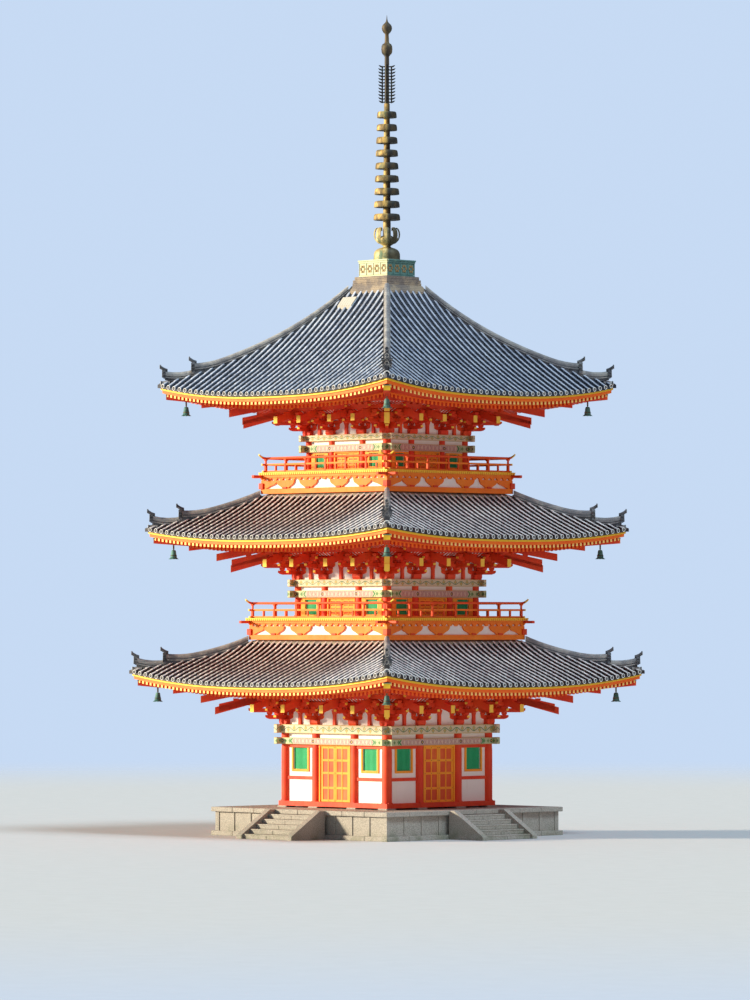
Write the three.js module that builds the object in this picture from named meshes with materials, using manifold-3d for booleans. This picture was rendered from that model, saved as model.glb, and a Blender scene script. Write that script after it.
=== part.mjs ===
// A three-storey timber pagoda on a stone podium, with tiled roofs, two balconies, a bronze
// spire and twelve wind bells. Millimetres, +Z up, origin on the ground under the middle.
import * as THREE from "three";
import { mergeVertices } from "three/addons/utils/BufferGeometryUtils.js";
import Module from "manifold-3d";

const wasm = await Module();
wasm.setup();

// Driving dimensions. A half is half the side of a square, measured from the axis.
const FIT = 0.3;
const LET_IN = 20;
const PODIUM = { half: 4700, wallHalf: 4580, height: 1060, course: 170 };
const STAIR = { width: 2400, treads: 5, tread: 320, cheek: 260, cheekRise: 120 };
const STONE = { half: 250, height: 60 };
const COLUMN_SIDES = 8;
const FRAME = { beamOut: 25, beamPast: 250, sillIn: 100, sillBack: 5 };

const STOREYS = [
  {
    columnHalf: 2680, innerColumn: 1025, columnRadius: 190, foot: 1120, sillTop: 1300,
    lowerBeam: [3436, 3682], upperBeam: [3852, 4176], window: { width: 760, low: 2500, high: 3330 },
  },
  {
    columnHalf: 2345, innerColumn: 905, columnRadius: 165, foot: 8180, sillTop: 8250,
    lowerBeam: [8949, 9213], upperBeam: [9365, 9629], window: { width: 620, low: 8307, high: 8874 },
    balcony: { half: 3685, low: 7363, deckHalf: 3786, rail: 8783 },
  },
  {
    columnHalf: 2060, innerColumn: 820, columnRadius: 150, foot: 13670, sillTop: 13720,
    lowerBeam: [14425, 14689], upperBeam: [14840, 15067], window: { width: 480, low: 13844, high: 14335 },
    balcony: { half: 3370, low: 12865, deckHalf: 3436, rail: 14255 },
  },
];

// Each roof: half-side and mid-side height of the eave line, how far the corners rise above it,
// where that rise starts, and the hip line as [half, height] from the eave to the top.
const ROOFS = [
  {
    eaveHalf: 6798, eaveZ: 5573, rise: 490, riseStart: 2900, topHalf: 3450.3,
    hip: [[6898, 6150], [6100, 6350], [5100, 6590], [4400, 6850], [3695, 7220]],
  },
  {
    eaveHalf: 6380, eaveZ: 11031, rise: 390, riseStart: 2600, topHalf: 3135.3,
    hip: [[6480, 11510], [5500, 11800], [4790, 12030], [4101, 12325], [3400, 12700]],
  },
  {
    eaveHalf: 6047, eaveZ: 16358, rise: 500, riseStart: 2168, topHalf: 700,
    hip: [[6147, 16945], [4691, 17580], [3500, 18230], [2168, 19280], [1281, 20140], [934, 20600]],
  },
];
const TOP_ROOF = ROOFS[2];
const RISE_POWER = 1.4;
const SWEEP_POWER = 2.5;
const SWEEP_STEPS = 4;

const EAVE = { strip: 38, board: 100, rafter: 120, boardIn: 45, rafterIn: 90, rim: 200 };
const RAFTER = { flying: 1000, flyingSlope: 0.04, step: 170, baseSlope: 0.28, layer: 200 };
const TILES = { overhang: 100, thickness: 200 };
const HIP_RAFTER = { width: 250, depth: 160, inLayer: 60, startOut: 160, endIn: 215, endHeight: 185 };
const BRACKET = { step: 450, width: 150, cornerWidth: 180, tailReach: 1800, back: 40 };
const PURLIN = { height: 200, half: 90 };
const DIAGONAL_TAIL = { startOut: 300, width: 200, height: 270 };
const DIAGONAL_TAILS = [{ back: 2590, drop: 820, slope: 0.2 }, { back: 3130, drop: 1250, slope: 0.28 }];
const BALCONY = {
  deck: 100, skirtIn: 235, skirtDeep: 150, beam: 190, fieldIn: 80, cap: 170, capOut: 20,
  armFoot: 160, armHalf: 540, armBend: 0.6, armDeep: 70, endPast: 400, endDeep: 140,
};
const RAILING = {
  lineIn: 200, past: 360, sill: { half: 40, height: 70 }, middle: { half: 28, low: 280, height: 55 },
  top: { half: 38 }, postHalf: 38, postShares: [-2 / 3, -1 / 3, 0, 1 / 3, 2 / 3, 1],
};
const RIDGE = {
  width: 260, sunk: 120, mainHeight: 300, mainTip: 150, mainFromEdge: 1400,
  lesserWidth: 220, lesserHeight: 220, lesserTip: 260, lesserFromEdge: 130, overlap: 200,
};
const FLASHING = { apron: 300, topApron: 150, lap: 60, rim: 100, aboveSpireFoot: 130 };
const HATCH = { middle: -650, width: 900, low: 1640, high: 1300, height: 170 };
const DOOR = {
  opening: 765, portal: 65, portalOut: 100, axisX: 730, axisOut: 30, thickness: 60, head: 3380,
  gap: 5, pin: 20, socket: 21.2, socketDeep: 40, meetingGap: 4, upperMargin: 70,
};
const BELL = {
  fromEnd: 750, drop: 140, pin: 8, eye: 8.93, lug: 40, cheek: 14, cheekGap: 68, cheekHalf: 28, cheekLow: 30,
};
const SPIRE = {
  foot: 20600, plinthHalf: 932, plinthTop: 21070, basinHalf: 748, basinTop: 21697, hollow: 300,
  flange: 37, flangeHeight: 110,
  bowlRadius: 514, lotusRadius: 506, lotusTop: 22940, mastFoot: 22500,
  ringLow: 23343, ringHigh: 27222, rings: 9, ringRadius: [506, 374], ringHeight: 230,
  ringFoot: 0.88, ringBevel: 70, shaft: [151, 108], flameLow: 27645, flameHigh: 29113, flameRadius: 332,
  ballZ: 29710, jewelZ: 30503, tip: 31000,
};
const WALL = { out: 40, in: 60, sheet: 30, sheetMargin: 60 };
const FLOOR_TOP = 1250;

const COLOURS = {
  stone: [0x9b968c, 0.9], vermilion: [0xd9441c, 0.6], plaster: [0xeee9dd, 0.9],
  lattice: [0x2f8f5e, 0.7], orange: [0xe08a2c, 0.6], tile: [0x59616b, 0.6],
  bronze: [0x4a4436, 0.55], verdigris: [0x5f9a86, 0.7], board: [0xcfc5ae, 0.9],
};

// Joining and cutting of closed shapes.
function toManifold(geometry) {
  const bare = geometry.index ? geometry.toNonIndexed() : geometry.clone();
  bare.deleteAttribute("normal");
  bare.deleteAttribute("uv");
  const merged = mergeVertices(bare, 1e-4);
  return new wasm.Manifold(new wasm.Mesh({
    numProp: 3,
    vertProperties: merged.attributes.position.array,
    triVerts: new Uint32Array(merged.index.array),
  }));
}

function toGeometry(manifold) {
  const mesh = manifold.asOriginal().simplify().getMesh();
  const geometry = new THREE.BufferGeometry();
  geometry.setAttribute("position", new THREE.BufferAttribute(mesh.vertProperties, 3));
  geometry.setIndex(new THREE.BufferAttribute(mesh.triVerts, 1));
  return geometry;
}

function join(...shapes) {
  return toGeometry(shapes.flat().map(toManifold).reduce((whole, next) => whole.add(next)));
}

function cut(shape, ...cutters) {
  return toGeometry(cutters.flat().map(toManifold)
    .reduce((whole, next) => whole.subtract(next), toManifold(shape)));
}

// Basic shapes.
function box(x0, x1, y0, y1, z0, z1) {
  return new THREE.BoxGeometry(x1 - x0, y1 - y0, z1 - z0)
    .translate((x0 + x1) / 2, (y0 + y1) / 2, (z0 + z1) / 2);
}

function post(x, y, radius, z0, z1, sides = 12) {
  return new THREE.CylinderGeometry(radius, radius, z1 - z0, sides)
    .rotateX(Math.PI / 2)
    .translate(x, y, (z0 + z1) / 2);
}

function lathe(points, segments) {
  return new THREE.LatheGeometry(points.map(([r, z]) => new THREE.Vector2(r, z)), segments)
    .rotateX(Math.PI / 2);
}

// A flat outline of [distance outwards, height] on the front side, given a width along the side.
function plate(outline, width, along = 0) {
  const shape = new THREE.Shape(outline.map(([d, z]) => new THREE.Vector2(d, z)));
  const turn = new THREE.Matrix4().makeBasis(
    new THREE.Vector3(0, -1, 0), new THREE.Vector3(0, 0, 1), new THREE.Vector3(-1, 0, 0));
  return new THREE.ExtrudeGeometry(shape, { depth: width, bevelEnabled: false })
    .translate(0, 0, -width / 2)
    .applyMatrix4(turn)
    .translate(along, 0, 0);
}

function turned(shape, degrees) {
  const angle = THREE.MathUtils.degToRad(degrees);
  const whole = degrees % 90 === 0;
  const cos = whole ? Math.round(Math.cos(angle)) : Math.cos(angle);
  const sin = whole ? Math.round(Math.sin(angle)) : Math.sin(angle);
  return shape.clone().applyMatrix4(new THREE.Matrix4().set(
    cos, -sin, 0, 0, sin, cos, 0, 0, 0, 0, 1, 0, 0, 0, 0, 1));
}

function fourSides(shape) {
  return [0, 90, 180, 270].map((degrees) => turned(shape, degrees));
}

function fourCorners(shape) {
  return [45, 135, 225, 315].map((degrees) => turned(shape, degrees));
}

// A section of points { s, z, lift } carried round the square. Each point lies at half-side s, and
// its height grows from z at the middle of a side to z + lift at the corners. Each face is split
// from its inner to its outer edge, so that two sweeps that lie on each other match.
function squareSweep(section, steps = SWEEP_STEPS) {
  const positions = [];
  const index = [];
  const stations = 4 * steps;
  for (let j = 0; j < stations; j += 1) {
    const u = -1 + (2 * (j % steps)) / steps;
    const turn = (Math.floor(j / steps) * Math.PI) / 2;
    for (const { s, z, lift = 0 } of section) {
      const x = u * s;
      const y = -s;
      positions.push(
        x * Math.cos(turn) - y * Math.sin(turn),
        x * Math.sin(turn) + y * Math.cos(turn),
        z + lift * Math.abs(u) ** SWEEP_POWER);
    }
  }
  for (let j = 0; j < stations; j += 1) {
    const next = (j + 1) % stations;
    for (let i = 0; i < section.length; i += 1) {
      const a = j * section.length + i;
      const b = next * section.length + i;
      const c = next * section.length + ((i + 1) % section.length);
      const d = j * section.length + ((i + 1) % section.length);
      const outward = section[(i + 1) % section.length].s >= section[i].s;
      index.push(...(outward ? [a, b, c, a, c, d] : [a, b, d, b, c, d]));
    }
  }
  const geometry = new THREE.BufferGeometry();
  geometry.setAttribute("position", new THREE.Float32BufferAttribute(positions, 3));
  geometry.setIndex(index);
  return geometry;
}

function squareRing(inner, outer, z0, z1) {
  return squareSweep([{ s: inner, z: z0 }, { s: outer, z: z0 }, { s: outer, z: z1 }, { s: inner, z: z1 }], 1);
}

// Lines of a roof: how far the corner rises at half-side s, and points of its rafter layer.
function liftAt(roof, s) {
  const edge = roof.eaveHalf + TILES.overhang;
  const share = Math.max(0, (s - roof.riseStart) / (edge - roof.riseStart));
  return roof.rise * share ** RISE_POWER;
}

function roofPoint(roof, s, z) {
  return { s, z, lift: liftAt(roof, s) };
}

function between(a, b, s, raise = 0) {
  const t = (s - a.s) / (b.s - a.s);
  return { s, z: a.z + (b.z - a.z) * t + raise, lift: a.lift + (b.lift - a.lift) * t };
}

function rafterLines(roof, storey) {
  const end = roof.eaveHalf - EAVE.rafterIn;
  const endZ = roof.eaveZ - EAVE.strip - EAVE.board - EAVE.rafter;
  const stepHalf = end - RAFTER.flying;
  const stepZ = endZ + RAFTER.flying * RAFTER.flyingSlope;
  const baseZ = stepZ - RAFTER.step;
  const inner = storey.columnHalf - WALL.in;
  const innerZ = baseZ + (stepHalf - inner) * RAFTER.baseSlope;
  return {
    flyingEnd: roofPoint(roof, end, endZ),
    flyingIn: roofPoint(roof, stepHalf, stepZ),
    baseEnd: roofPoint(roof, stepHalf, baseZ),
    baseIn: roofPoint(roof, inner, innerZ),
    topIn: roofPoint(roof, inner, innerZ + RAFTER.layer),
    topStep: roofPoint(roof, stepHalf, stepZ + RAFTER.step),
  };
}

// The scene graph.
const pagoda = new THREE.Group();
pagoda.name = "pagoda";

function material(colour) {
  const [color, roughness] = COLOURS[colour];
  return new THREE.MeshStandardMaterial({ color, roughness, metalness: 0 });
}

function addPiece(name, geometry, colour, parent = pagoda) {
  geometry.computeVertexNormals();
  const piece = new THREE.Mesh(geometry, material(colour));
  piece.name = name;
  parent.add(piece);
  return piece;
}

// The stone podium with a stone under each column, and a flight of steps on each side.
function columnPlaces(storey) {
  const { columnHalf: c, innerColumn: b } = storey;
  const side = [[-c, -c], [-b, -c], [b, -c]];
  return [0, 1, 2, 3].flatMap((quarter) => side.map(([x, y]) => {
    const turn = (quarter * Math.PI) / 2;
    return [x * Math.cos(turn) - y * Math.sin(turn), x * Math.sin(turn) + y * Math.cos(turn)];
  }));
}

function podium() {
  const { half, wallHalf, height, course } = PODIUM;
  const stones = columnPlaces(STOREYS[0])
    .map(([x, y]) => box(x - STONE.half, x + STONE.half, y - STONE.half, y + STONE.half,
      height - LET_IN, height + STONE.height - FIT));
  return join(
    box(-half, half, -half, half, 0, course),
    box(-wallHalf, wallHalf, -wallHalf, wallHalf, course - LET_IN, height - course + LET_IN),
    box(-half, half, -half, half, height - course, height),
    stones);
}

function stair() {
  const { width, treads, tread, cheek, cheekRise } = STAIR;
  const start = PODIUM.half + FIT;
  const rise = PODIUM.height / (treads + 1);
  const reach = start + treads * tread;
  const outline = [[start, 0], [reach, 0]];
  for (let n = 1; n <= treads; n += 1) {
    outline.push([reach - (n - 1) * tread, n * rise], [reach - n * tread, n * rise]);
  }
  const cheekLine = [[start, 0], [reach + cheek / 2, 0], [reach + cheek / 2, cheekRise],
    [start, PODIUM.height]];
  const cheekAt = width / 2 + cheek / 2 - LET_IN / 2;
  return join(plate(outline, width), plate(cheekLine, cheek, -cheekAt), plate(cheekLine, cheek, cheekAt));
}

addPiece("podium", podium(), "stone");
["front", "right", "back", "left"].forEach((side, quarter) => {
  addPiece(`steps_${side}`, turned(stair(), quarter * 90), "stone");
});

// The timber frame of a storey: round columns, flattened behind where the wall passes, joined by a
// sill and by two broad beams whose ends pass the corners.
function frame(storey, number) {
  const { columnHalf: c, columnRadius: r, foot, sillTop, lowerBeam, upperBeam } = storey;
  const base = foot + FIT;
  const wallFace = c + WALL.out + FIT;
  const beamFace = c + r + FRAME.beamOut;
  const low = sillTop - LET_IN;
  const high = lowerBeam[0] + LET_IN;
  const columns = columnPlaces(storey).map(([x, y]) => post(x, y, r, low, high, COLUMN_SIDES));
  const standing = cut(join(columns), box(-wallFace, wallFace, -wallFace, wallFace, low - 1, high + 1));
  const head = squareSweep([
    { s: c - WALL.in, z: lowerBeam[0] }, { s: beamFace, z: lowerBeam[0] }, { s: beamFace, z: lowerBeam[1] },
    { s: c + WALL.out, z: lowerBeam[1] }, { s: c + WALL.out, z: upperBeam[0] },
    { s: beamFace, z: upperBeam[0] }, { s: beamFace, z: upperBeam[1] }, { s: c - WALL.in, z: upperBeam[1] },
  ], 1);
  const ends = [lowerBeam, upperBeam].flatMap(([z0, z1]) => [-1, 1].map((side) => {
    const near = side * (beamFace - LET_IN);
    const far = side * (beamFace + FRAME.beamPast);
    return box(Math.min(near, far), Math.max(near, far), -beamFace, -(c + WALL.out), z0, z1);
  }));
  const sill = squareRing(c - FRAME.sillIn, beamFace - FRAME.sillBack, base, sillTop);
  const timber = join(standing, head, ends.flatMap(fourSides), sill);
  if (number > 1) return timber;
  const sockets = [-1, 1].map((side) =>
    post(side * DOOR.axisX, -(c + DOOR.axisOut), DOOR.socket, sillTop - DOOR.socketDeep, sillTop + LET_IN));
  return cut(timber, sockets);
}

// Openings of a storey's wall, as boxes on the front side.
function openings(storey, number, inset) {
  const { columnHalf: c, innerColumn: b, columnRadius: r, sillTop, lowerBeam, window } = storey;
  const ground = number === 1;
  const doorHalf = ground ? DOOR.opening : b - r - DOOR.upperMargin;
  const doorLow = ground ? sillTop : sillTop + 10;
  const doorHigh = ground ? DOOR.head : lowerBeam[0] - 50;
  const middle = (b + c) / 2;
  const half = window.width / 2 - inset;
  return {
    windows: [-middle, middle].map((x) => [x - half, x + half, window.low + inset, window.high - inset]),
    door: [-doorHalf + inset, doorHalf - inset, doorLow + inset, doorHigh - inset],
  };
}

function openingBox([x0, x1, z0, z1], near, far) {
  return box(x0, x1, -far, -near, z0, z1);
}

function walls(storey, number) {
  const { columnHalf: c, sillTop, lowerBeam } = storey;
  const low = sillTop + FIT;
  const high = lowerBeam[0] - FIT;
  const { windows, door } = openings(storey, number, 0);
  const doorCut = number === 1 ? [door[0], door[1], low - 10, door[3]] : door;
  const cutters = [...windows, doorCut].flatMap((hole) => fourSides(openingBox(hole, c - 200, c + 200)));
  const ring = squareRing(c - WALL.in, c + WALL.out, low, high);
  if (number > 1) return cut(ring, cutters);
  const portalHalf = DOOR.opening + DOOR.portal;
  const portal = box(-portalHalf, portalHalf, -(c + DOOR.portalOut), -(c - WALL.in), low, high);
  const socketTop = DOOR.head + DOOR.socketDeep;
  const sockets = [-1, 1].map((side) =>
    post(side * DOOR.axisX, -(c + DOOR.axisOut), DOOR.socket, DOOR.head - LET_IN, socketTop));
  return cut(join(ring, fourSides(portal)), cutters, sockets);
}

// The sheet behind the walls that carries the lattice windows and, above, the closed doors.
function joinery(storey, number) {
  const { columnHalf: c, sillTop, lowerBeam } = storey;
  const { windows, door } = openings(storey, number, FIT);
  const sheet = c - WALL.in - FIT;
  const ground = number === 1;
  const low = ground ? storey.window.low - WALL.sheetMargin : sillTop + FIT;
  const high = lowerBeam[0] - (ground ? WALL.sheetMargin : FIT);
  const panels = windows.flatMap((hole) => fourSides(openingBox(hole, sheet - 10, c)));
  const ring = squareRing(sheet - WALL.sheet, sheet, low, high);
  if (ground) {
    const bay = storey.innerColumn - 125;
    return cut(join(ring, panels), box(-bay, bay, -c, -c / 2, low - 10, high + 10));
  }
  return join(ring, panels, fourSides(openingBox(door, sheet - 10, c + 10)));
}

STOREYS.forEach((storey, i) => {
  const number = i + 1;
  addPiece(`frame_${number}`, frame(storey, number), "vermilion");
  addPiece(`walls_${number}`, walls(storey, number), "plaster");
  addPiece(`windows_${number}`, joinery(storey, number), "lattice");
});

// The boarded floor and the doors of the ground storey. The front pair turns on pins, one above
// and one below, let into the sill and the door head.
function closedDoor() {
  const { columnHalf: c, sillTop } = STOREYS[0];
  const half = DOOR.opening - FIT;
  const middle = c + DOOR.axisOut;
  const face = middle + DOOR.thickness / 2;
  const pair = box(-half, half, -face, -(middle - DOOR.thickness / 2), sillTop + FIT, DOOR.head - FIT);
  const groove = box(-DOOR.meetingGap, DOOR.meetingGap, -(face + 10), -(face - 10), sillTop, DOOR.head);
  return cut(pair, groove);
}

function doorLeaf(side) {
  const { columnHalf: c, sillTop } = STOREYS[0];
  const y = -(c + DOOR.axisOut);
  const x = side * DOOR.axisX;
  const half = DOOR.thickness / 2;
  const low = sillTop + DOOR.gap;
  const high = DOOR.head - DOOR.gap;
  const meeting = side * DOOR.meetingGap;
  return join(
    box(Math.min(x, meeting), Math.max(x, meeting), y - half, y + half, low, high),
    post(x, y, half, low, high),
    post(x, y, DOOR.pin, sillTop - DOOR.socketDeep + FIT, high),
    post(x, y, DOOR.pin, low, DOOR.head + DOOR.socketDeep - 4));
}

const floorHalf = STOREYS[0].columnHalf - FRAME.sillIn - FIT;
const floor = box(-floorHalf, floorHalf, -floorHalf, floorHalf, STOREYS[0].foot + FIT, FLOOR_TOP);
addPiece("floor_1", floor, "board");
["right", "back", "left"].forEach((side, i) => {
  addPiece(`door_${side}`, turned(closedDoor(), (i + 1) * 90), "orange");
});
addPiece("front_door_left", doorLeaf(-1), "orange");
addPiece("front_door_right", doorLeaf(1), "orange");

// The balcony of an upper storey: a base with bracket arms, standing through the roof below on its
// rafters, a boarded deck, and a railing of three rails.
function balconyBase(storey, below, storeyBelow) {
  const { half, low, deckHalf } = storey.balcony;
  const deckLow = storey.foot - BALCONY.deck - FIT;
  const skirt = half - BALCONY.skirtIn;
  const inner = skirt - BALCONY.skirtDeep;
  const lines = rafterLines(below, storeyBelow);
  const seat = (s) => {
    const point = between(lines.topIn, lines.topStep, s, FIT);
    return { s, z: point.z + point.lift };
  };
  const field = half - BALCONY.fieldIn;
  const beamTop = low + BALCONY.beam;
  const cap = deckLow - BALCONY.cap;
  const capFace = half + BALCONY.capOut;
  const ring = squareSweep([
    seat(inner), seat(skirt), { s: skirt, z: low }, { s: half, z: low }, { s: half, z: beamTop },
    { s: field, z: beamTop }, { s: field, z: cap }, { s: capFace, z: cap }, { s: capFace, z: deckLow },
    { s: inner, z: deckLow },
  ], 1);
  const foot = beamTop - LET_IN / 2;
  const tall = cap + LET_IN / 2 - foot;
  const { armFoot, armHalf, armBend, armDeep } = BALCONY;
  const face = field - LET_IN + armDeep;
  const middles = [-storey.columnHalf, -storey.innerColumn, storey.innerColumn, storey.columnHalf];
  const feet = [[-face, -face + 2 * armFoot], ...middles.map((x) => [x - armFoot, x + armFoot]),
    [face - 2 * armFoot, face]];
  const arms = feet.map(([left, right]) => {
    const topLeft = Math.max(-face, left + armFoot - armHalf);
    const topRight = Math.min(face, right - armFoot + armHalf);
    const outline = [
      [left, 0], [right, 0], [topRight, armBend], [topRight, 1], [topLeft, 1], [topLeft, armBend]];
    const shape = new THREE.Shape(outline.map(([x, t]) => new THREE.Vector2(x, foot + t * tall)));
    return new THREE.ExtrudeGeometry(shape, { depth: armDeep, bevelEnabled: false })
      .rotateX(Math.PI / 2)
      .translate(0, -(field - LET_IN), 0);
  });
  const ends = [-1, 1].map((side) => {
    const near = side * (half - LET_IN);
    const far = side * (deckHalf + BALCONY.endPast);
    const back = capFace - BALCONY.endDeep;
    return box(Math.min(near, far), Math.max(near, far), -capFace, -back, cap, deckLow);
  });
  return join(ring, arms.flatMap(fourSides), ends.flatMap(fourSides));
}

function railing(storey) {
  const { deckHalf, rail } = storey.balcony;
  const { sill, middle, top, past, postHalf } = RAILING;
  const line = deckHalf - RAILING.lineIn;
  const foot = storey.foot + FIT;
  const sillRail = squareRing(line - sill.half, line + sill.half, foot, foot + sill.height);
  const middleLow = foot + middle.low;
  const middleRail = squareRing(line - middle.half, line + middle.half, middleLow, middleLow + middle.height);
  const reach = line + past;
  const topRail = box(-reach, reach, -line - top.half, -line + top.half, rail - 2 * top.half, rail);
  const posts = RAILING.postShares.map((share) => {
    const x = share * line;
    return box(x - postHalf, x + postHalf, -line - postHalf, -line + postHalf, foot + 10, rail - 10);
  });
  return join(sillRail, middleRail, fourSides(topRail), posts.flatMap(fourSides));
}

[2, 3].forEach((number) => {
  const storey = STOREYS[number - 1];
  const { deckHalf } = storey.balcony;
  addPiece(`balcony_base_${number}`, balconyBase(storey, ROOFS[number - 2], STOREYS[number - 2]), "orange");
  addPiece(`balcony_deck_${number}`,
    box(-deckHalf, deckHalf, -deckHalf, deckHalf, storey.foot - BALCONY.deck, storey.foot), "orange");
  addPiece(`railing_${number}`, railing(storey), "vermilion");
});

// The eave purlin that the bracket sets carry under the rafters, a square ring level all round.
function purlinLines(storey, roof) {
  const lines = rafterLines(roof, storey);
  const under = (s) => between(lines.baseEnd, lines.baseIn, s).z - FIT;
  const out = storey.columnHalf + 3 * BRACKET.step;
  return { out, low: under(out) - PURLIN.height, under };
}

function eavePurlin(storey, roof) {
  const { out, low, under } = purlinLines(storey, roof);
  const inner = out - PURLIN.half;
  const outer = out + PURLIN.half;
  return squareSweep([
    { s: inner, z: low }, { s: outer, z: low }, { s: outer, z: under(outer) }, { s: inner, z: under(inner) },
  ], 1);
}

// The bracket sets under a roof: a set over each column stepping out three times, a tail rafter in
// each, two long tails on each diagonal, and the plaster wall behind.
function brackets(storey, roof) {
  const { columnHalf: c, innerColumn: b, upperBeam } = storey;
  const { step, width, tailReach, back: setBack } = BRACKET;
  const { out, low, under } = purlinLines(storey, roof);
  const foot = upperBeam[1] + FIT;
  const high = low - FIT - foot;
  const wallIn = c - WALL.in;
  const wallOut = c + WALL.out;
  const wall = squareSweep([
    { s: wallIn, z: foot }, { s: wallOut, z: foot }, { s: wallOut, z: under(wallOut) },
    { s: wallIn, z: under(wallIn) }], 1);
  const setLine = [
    [-setBack, 0], [210, 0], [230, 0.2], [step + 210, 0.36], [step + 210, 0.46], [2 * step + 20, 0.62],
    [tailReach, 0.4], [tailReach, 0.56], [3 * step + 60, 0.64], [3 * step + 60, 1], [-setBack, 1]]
    .map(([d, share]) => [c + d, foot + share * high]);
  const sets = [-b, b].map((x) => plate(setLine, width, x));
  const corner = (s) => s * Math.SQRT2;
  const cornerSet = plate(setLine.map(([s, z]) => [corner(s), z]), BRACKET.cornerWidth);
  const tailStart = corner(c + DIAGONAL_TAIL.startOut);
  const tails = DIAGONAL_TAILS.map(({ back, drop, slope }) => {
    const reach = corner(roof.eaveHalf) - back;
    const top = roof.eaveZ + roof.rise - drop;
    const inTop = top + (reach - tailStart) * slope;
    const { height } = DIAGONAL_TAIL;
    const outline = [[reach, top - height], [reach, top], [tailStart, inTop], [tailStart, inTop - height]];
    return plate(outline, DIAGONAL_TAIL.width);
  });
  const clear = PURLIN.half + FIT;
  const purlinSpace = squareRing(out - clear, out + clear, low - FIT, low + PURLIN.height);
  const timbers = join(wall, sets.flatMap(fourSides), fourCorners(cornerSet), tails.flatMap(fourCorners));
  return cut(timbers, purlinSpace);
}

// The rafter layer of a roof, with the eave boards, the hip rafters on the diagonals and, under
// each hip rafter, the two cheeks and the pin that a bell hangs from.
function hipRafterLines(roof, storey) {
  const lines = rafterLines(roof, storey);
  const corner = (point, drop) => [point.s * Math.SQRT2, point.z + point.lift - drop];
  const startHalf = storey.columnHalf + 3 * BRACKET.step + HIP_RAFTER.startOut;
  const endZ = lines.flyingEnd.z + lines.flyingEnd.lift - HIP_RAFTER.depth + 20;
  return {
    start: corner(between(lines.baseEnd, lines.baseIn, startHalf), HIP_RAFTER.depth),
    stepLow: corner(lines.baseEnd, HIP_RAFTER.depth),
    stepHigh: corner(lines.flyingIn, HIP_RAFTER.depth - 10),
    end: [roof.eaveHalf * Math.SQRT2 - HIP_RAFTER.endIn, endZ],
  };
}

function bellPivot(roof, storey) {
  const { stepHigh, end } = hipRafterLines(roof, storey);
  const reach = end[0] - BELL.fromEnd;
  const share = (reach - stepHigh[0]) / (end[0] - stepHigh[0]);
  const under = stepHigh[1] + (end[1] - stepHigh[1]) * share;
  return { reach, under, z: under - BELL.drop };
}

function hipRafter(roof, storey) {
  const { start, stepLow, stepHigh, end } = hipRafterLines(roof, storey);
  const inLayer = HIP_RAFTER.depth + HIP_RAFTER.inLayer;
  const beam = plate([
    start, stepLow, stepHigh, end, [end[0], end[1] + HIP_RAFTER.endHeight],
    [stepHigh[0], stepHigh[1] + inLayer], [start[0], start[1] + inLayer]], HIP_RAFTER.width);
  const { reach, under, z } = bellPivot(roof, storey);
  const near = BELL.cheekGap / 2;
  const cheeks = [-1, 1].map((side) => {
    const x = side * (near + BELL.cheek / 2);
    const half = BELL.cheek / 2;
    const deep = BELL.cheekHalf;
    return box(x - half, x + half, -reach - deep, -reach + deep, z - BELL.cheekLow, under + 60);
  });
  const pin = new THREE.CylinderGeometry(BELL.pin, BELL.pin, BELL.cheekGap + BELL.cheek, 8)
    .rotateZ(Math.PI / 2)
    .translate(0, -reach, z);
  return join(beam, cheeks, pin);
}

function eaves(roof, storey) {
  const { eaveHalf: e, eaveZ } = roof;
  const { strip, board, boardIn, rafterIn, rim } = EAVE;
  const lines = rafterLines(roof, storey);
  const layer = squareSweep([
    lines.baseIn, lines.baseEnd, lines.flyingIn, lines.flyingEnd,
    roofPoint(roof, e - rafterIn, eaveZ - strip - board),
    roofPoint(roof, e - boardIn, eaveZ - strip - board), roofPoint(roof, e - boardIn, eaveZ - strip),
    roofPoint(roof, e, eaveZ - strip), roofPoint(roof, e, eaveZ + strip),
    roofPoint(roof, e - rim, eaveZ + strip), roofPoint(roof, e - rim - 40, lines.flyingEnd.z + 200),
    lines.topStep, lines.topIn]);
  return join(layer, fourCorners(hipRafter(roof, storey)));
}

// The tiled shell of a roof, and the four corner ridges tied by the flashing at its head.
function surface(roof, s) {
  const points = roof.hip;
  const last = points.length - 1;
  let i = points.findIndex(([half]) => half <= s);
  if (i < 0) i = last;
  i = Math.max(1, i);
  const [s0, z0] = points[i - 1];
  const [s1, z1] = points[i];
  const hipZ = z0 + ((z1 - z0) * (s - s0)) / (s1 - s0);
  const lift = liftAt(roof, s);
  return { s, z: hipZ - lift, lift };
}

// The points of a roof's tiled surface, from the eave to its head.
function roofLine(roof) {
  const line = roof.hip.map(([s]) => surface(roof, s));
  const last = line[line.length - 1];
  line.push(roof === TOP_ROOF ? { s: roof.topHalf, z: last.z, lift: 0 } : surface(roof, roof.topHalf));
  return line;
}

function roofShell(roof) {
  const { eaveHalf: e, eaveZ } = roof;
  const seat = eaveZ + EAVE.strip + FIT;
  const line = roofLine(roof);
  const inner = line.filter(({ s }) => s < e - EAVE.rim - 150);
  const bottom = inner.map(({ s, z, lift }) => ({ s, z: z - TILES.thickness, lift })).reverse();
  const seats = [e - EAVE.rim, e, e + TILES.overhang].map((s) => roofPoint(roof, s, seat));
  return squareSweep([...line, ...bottom, ...seats]);
}

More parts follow.
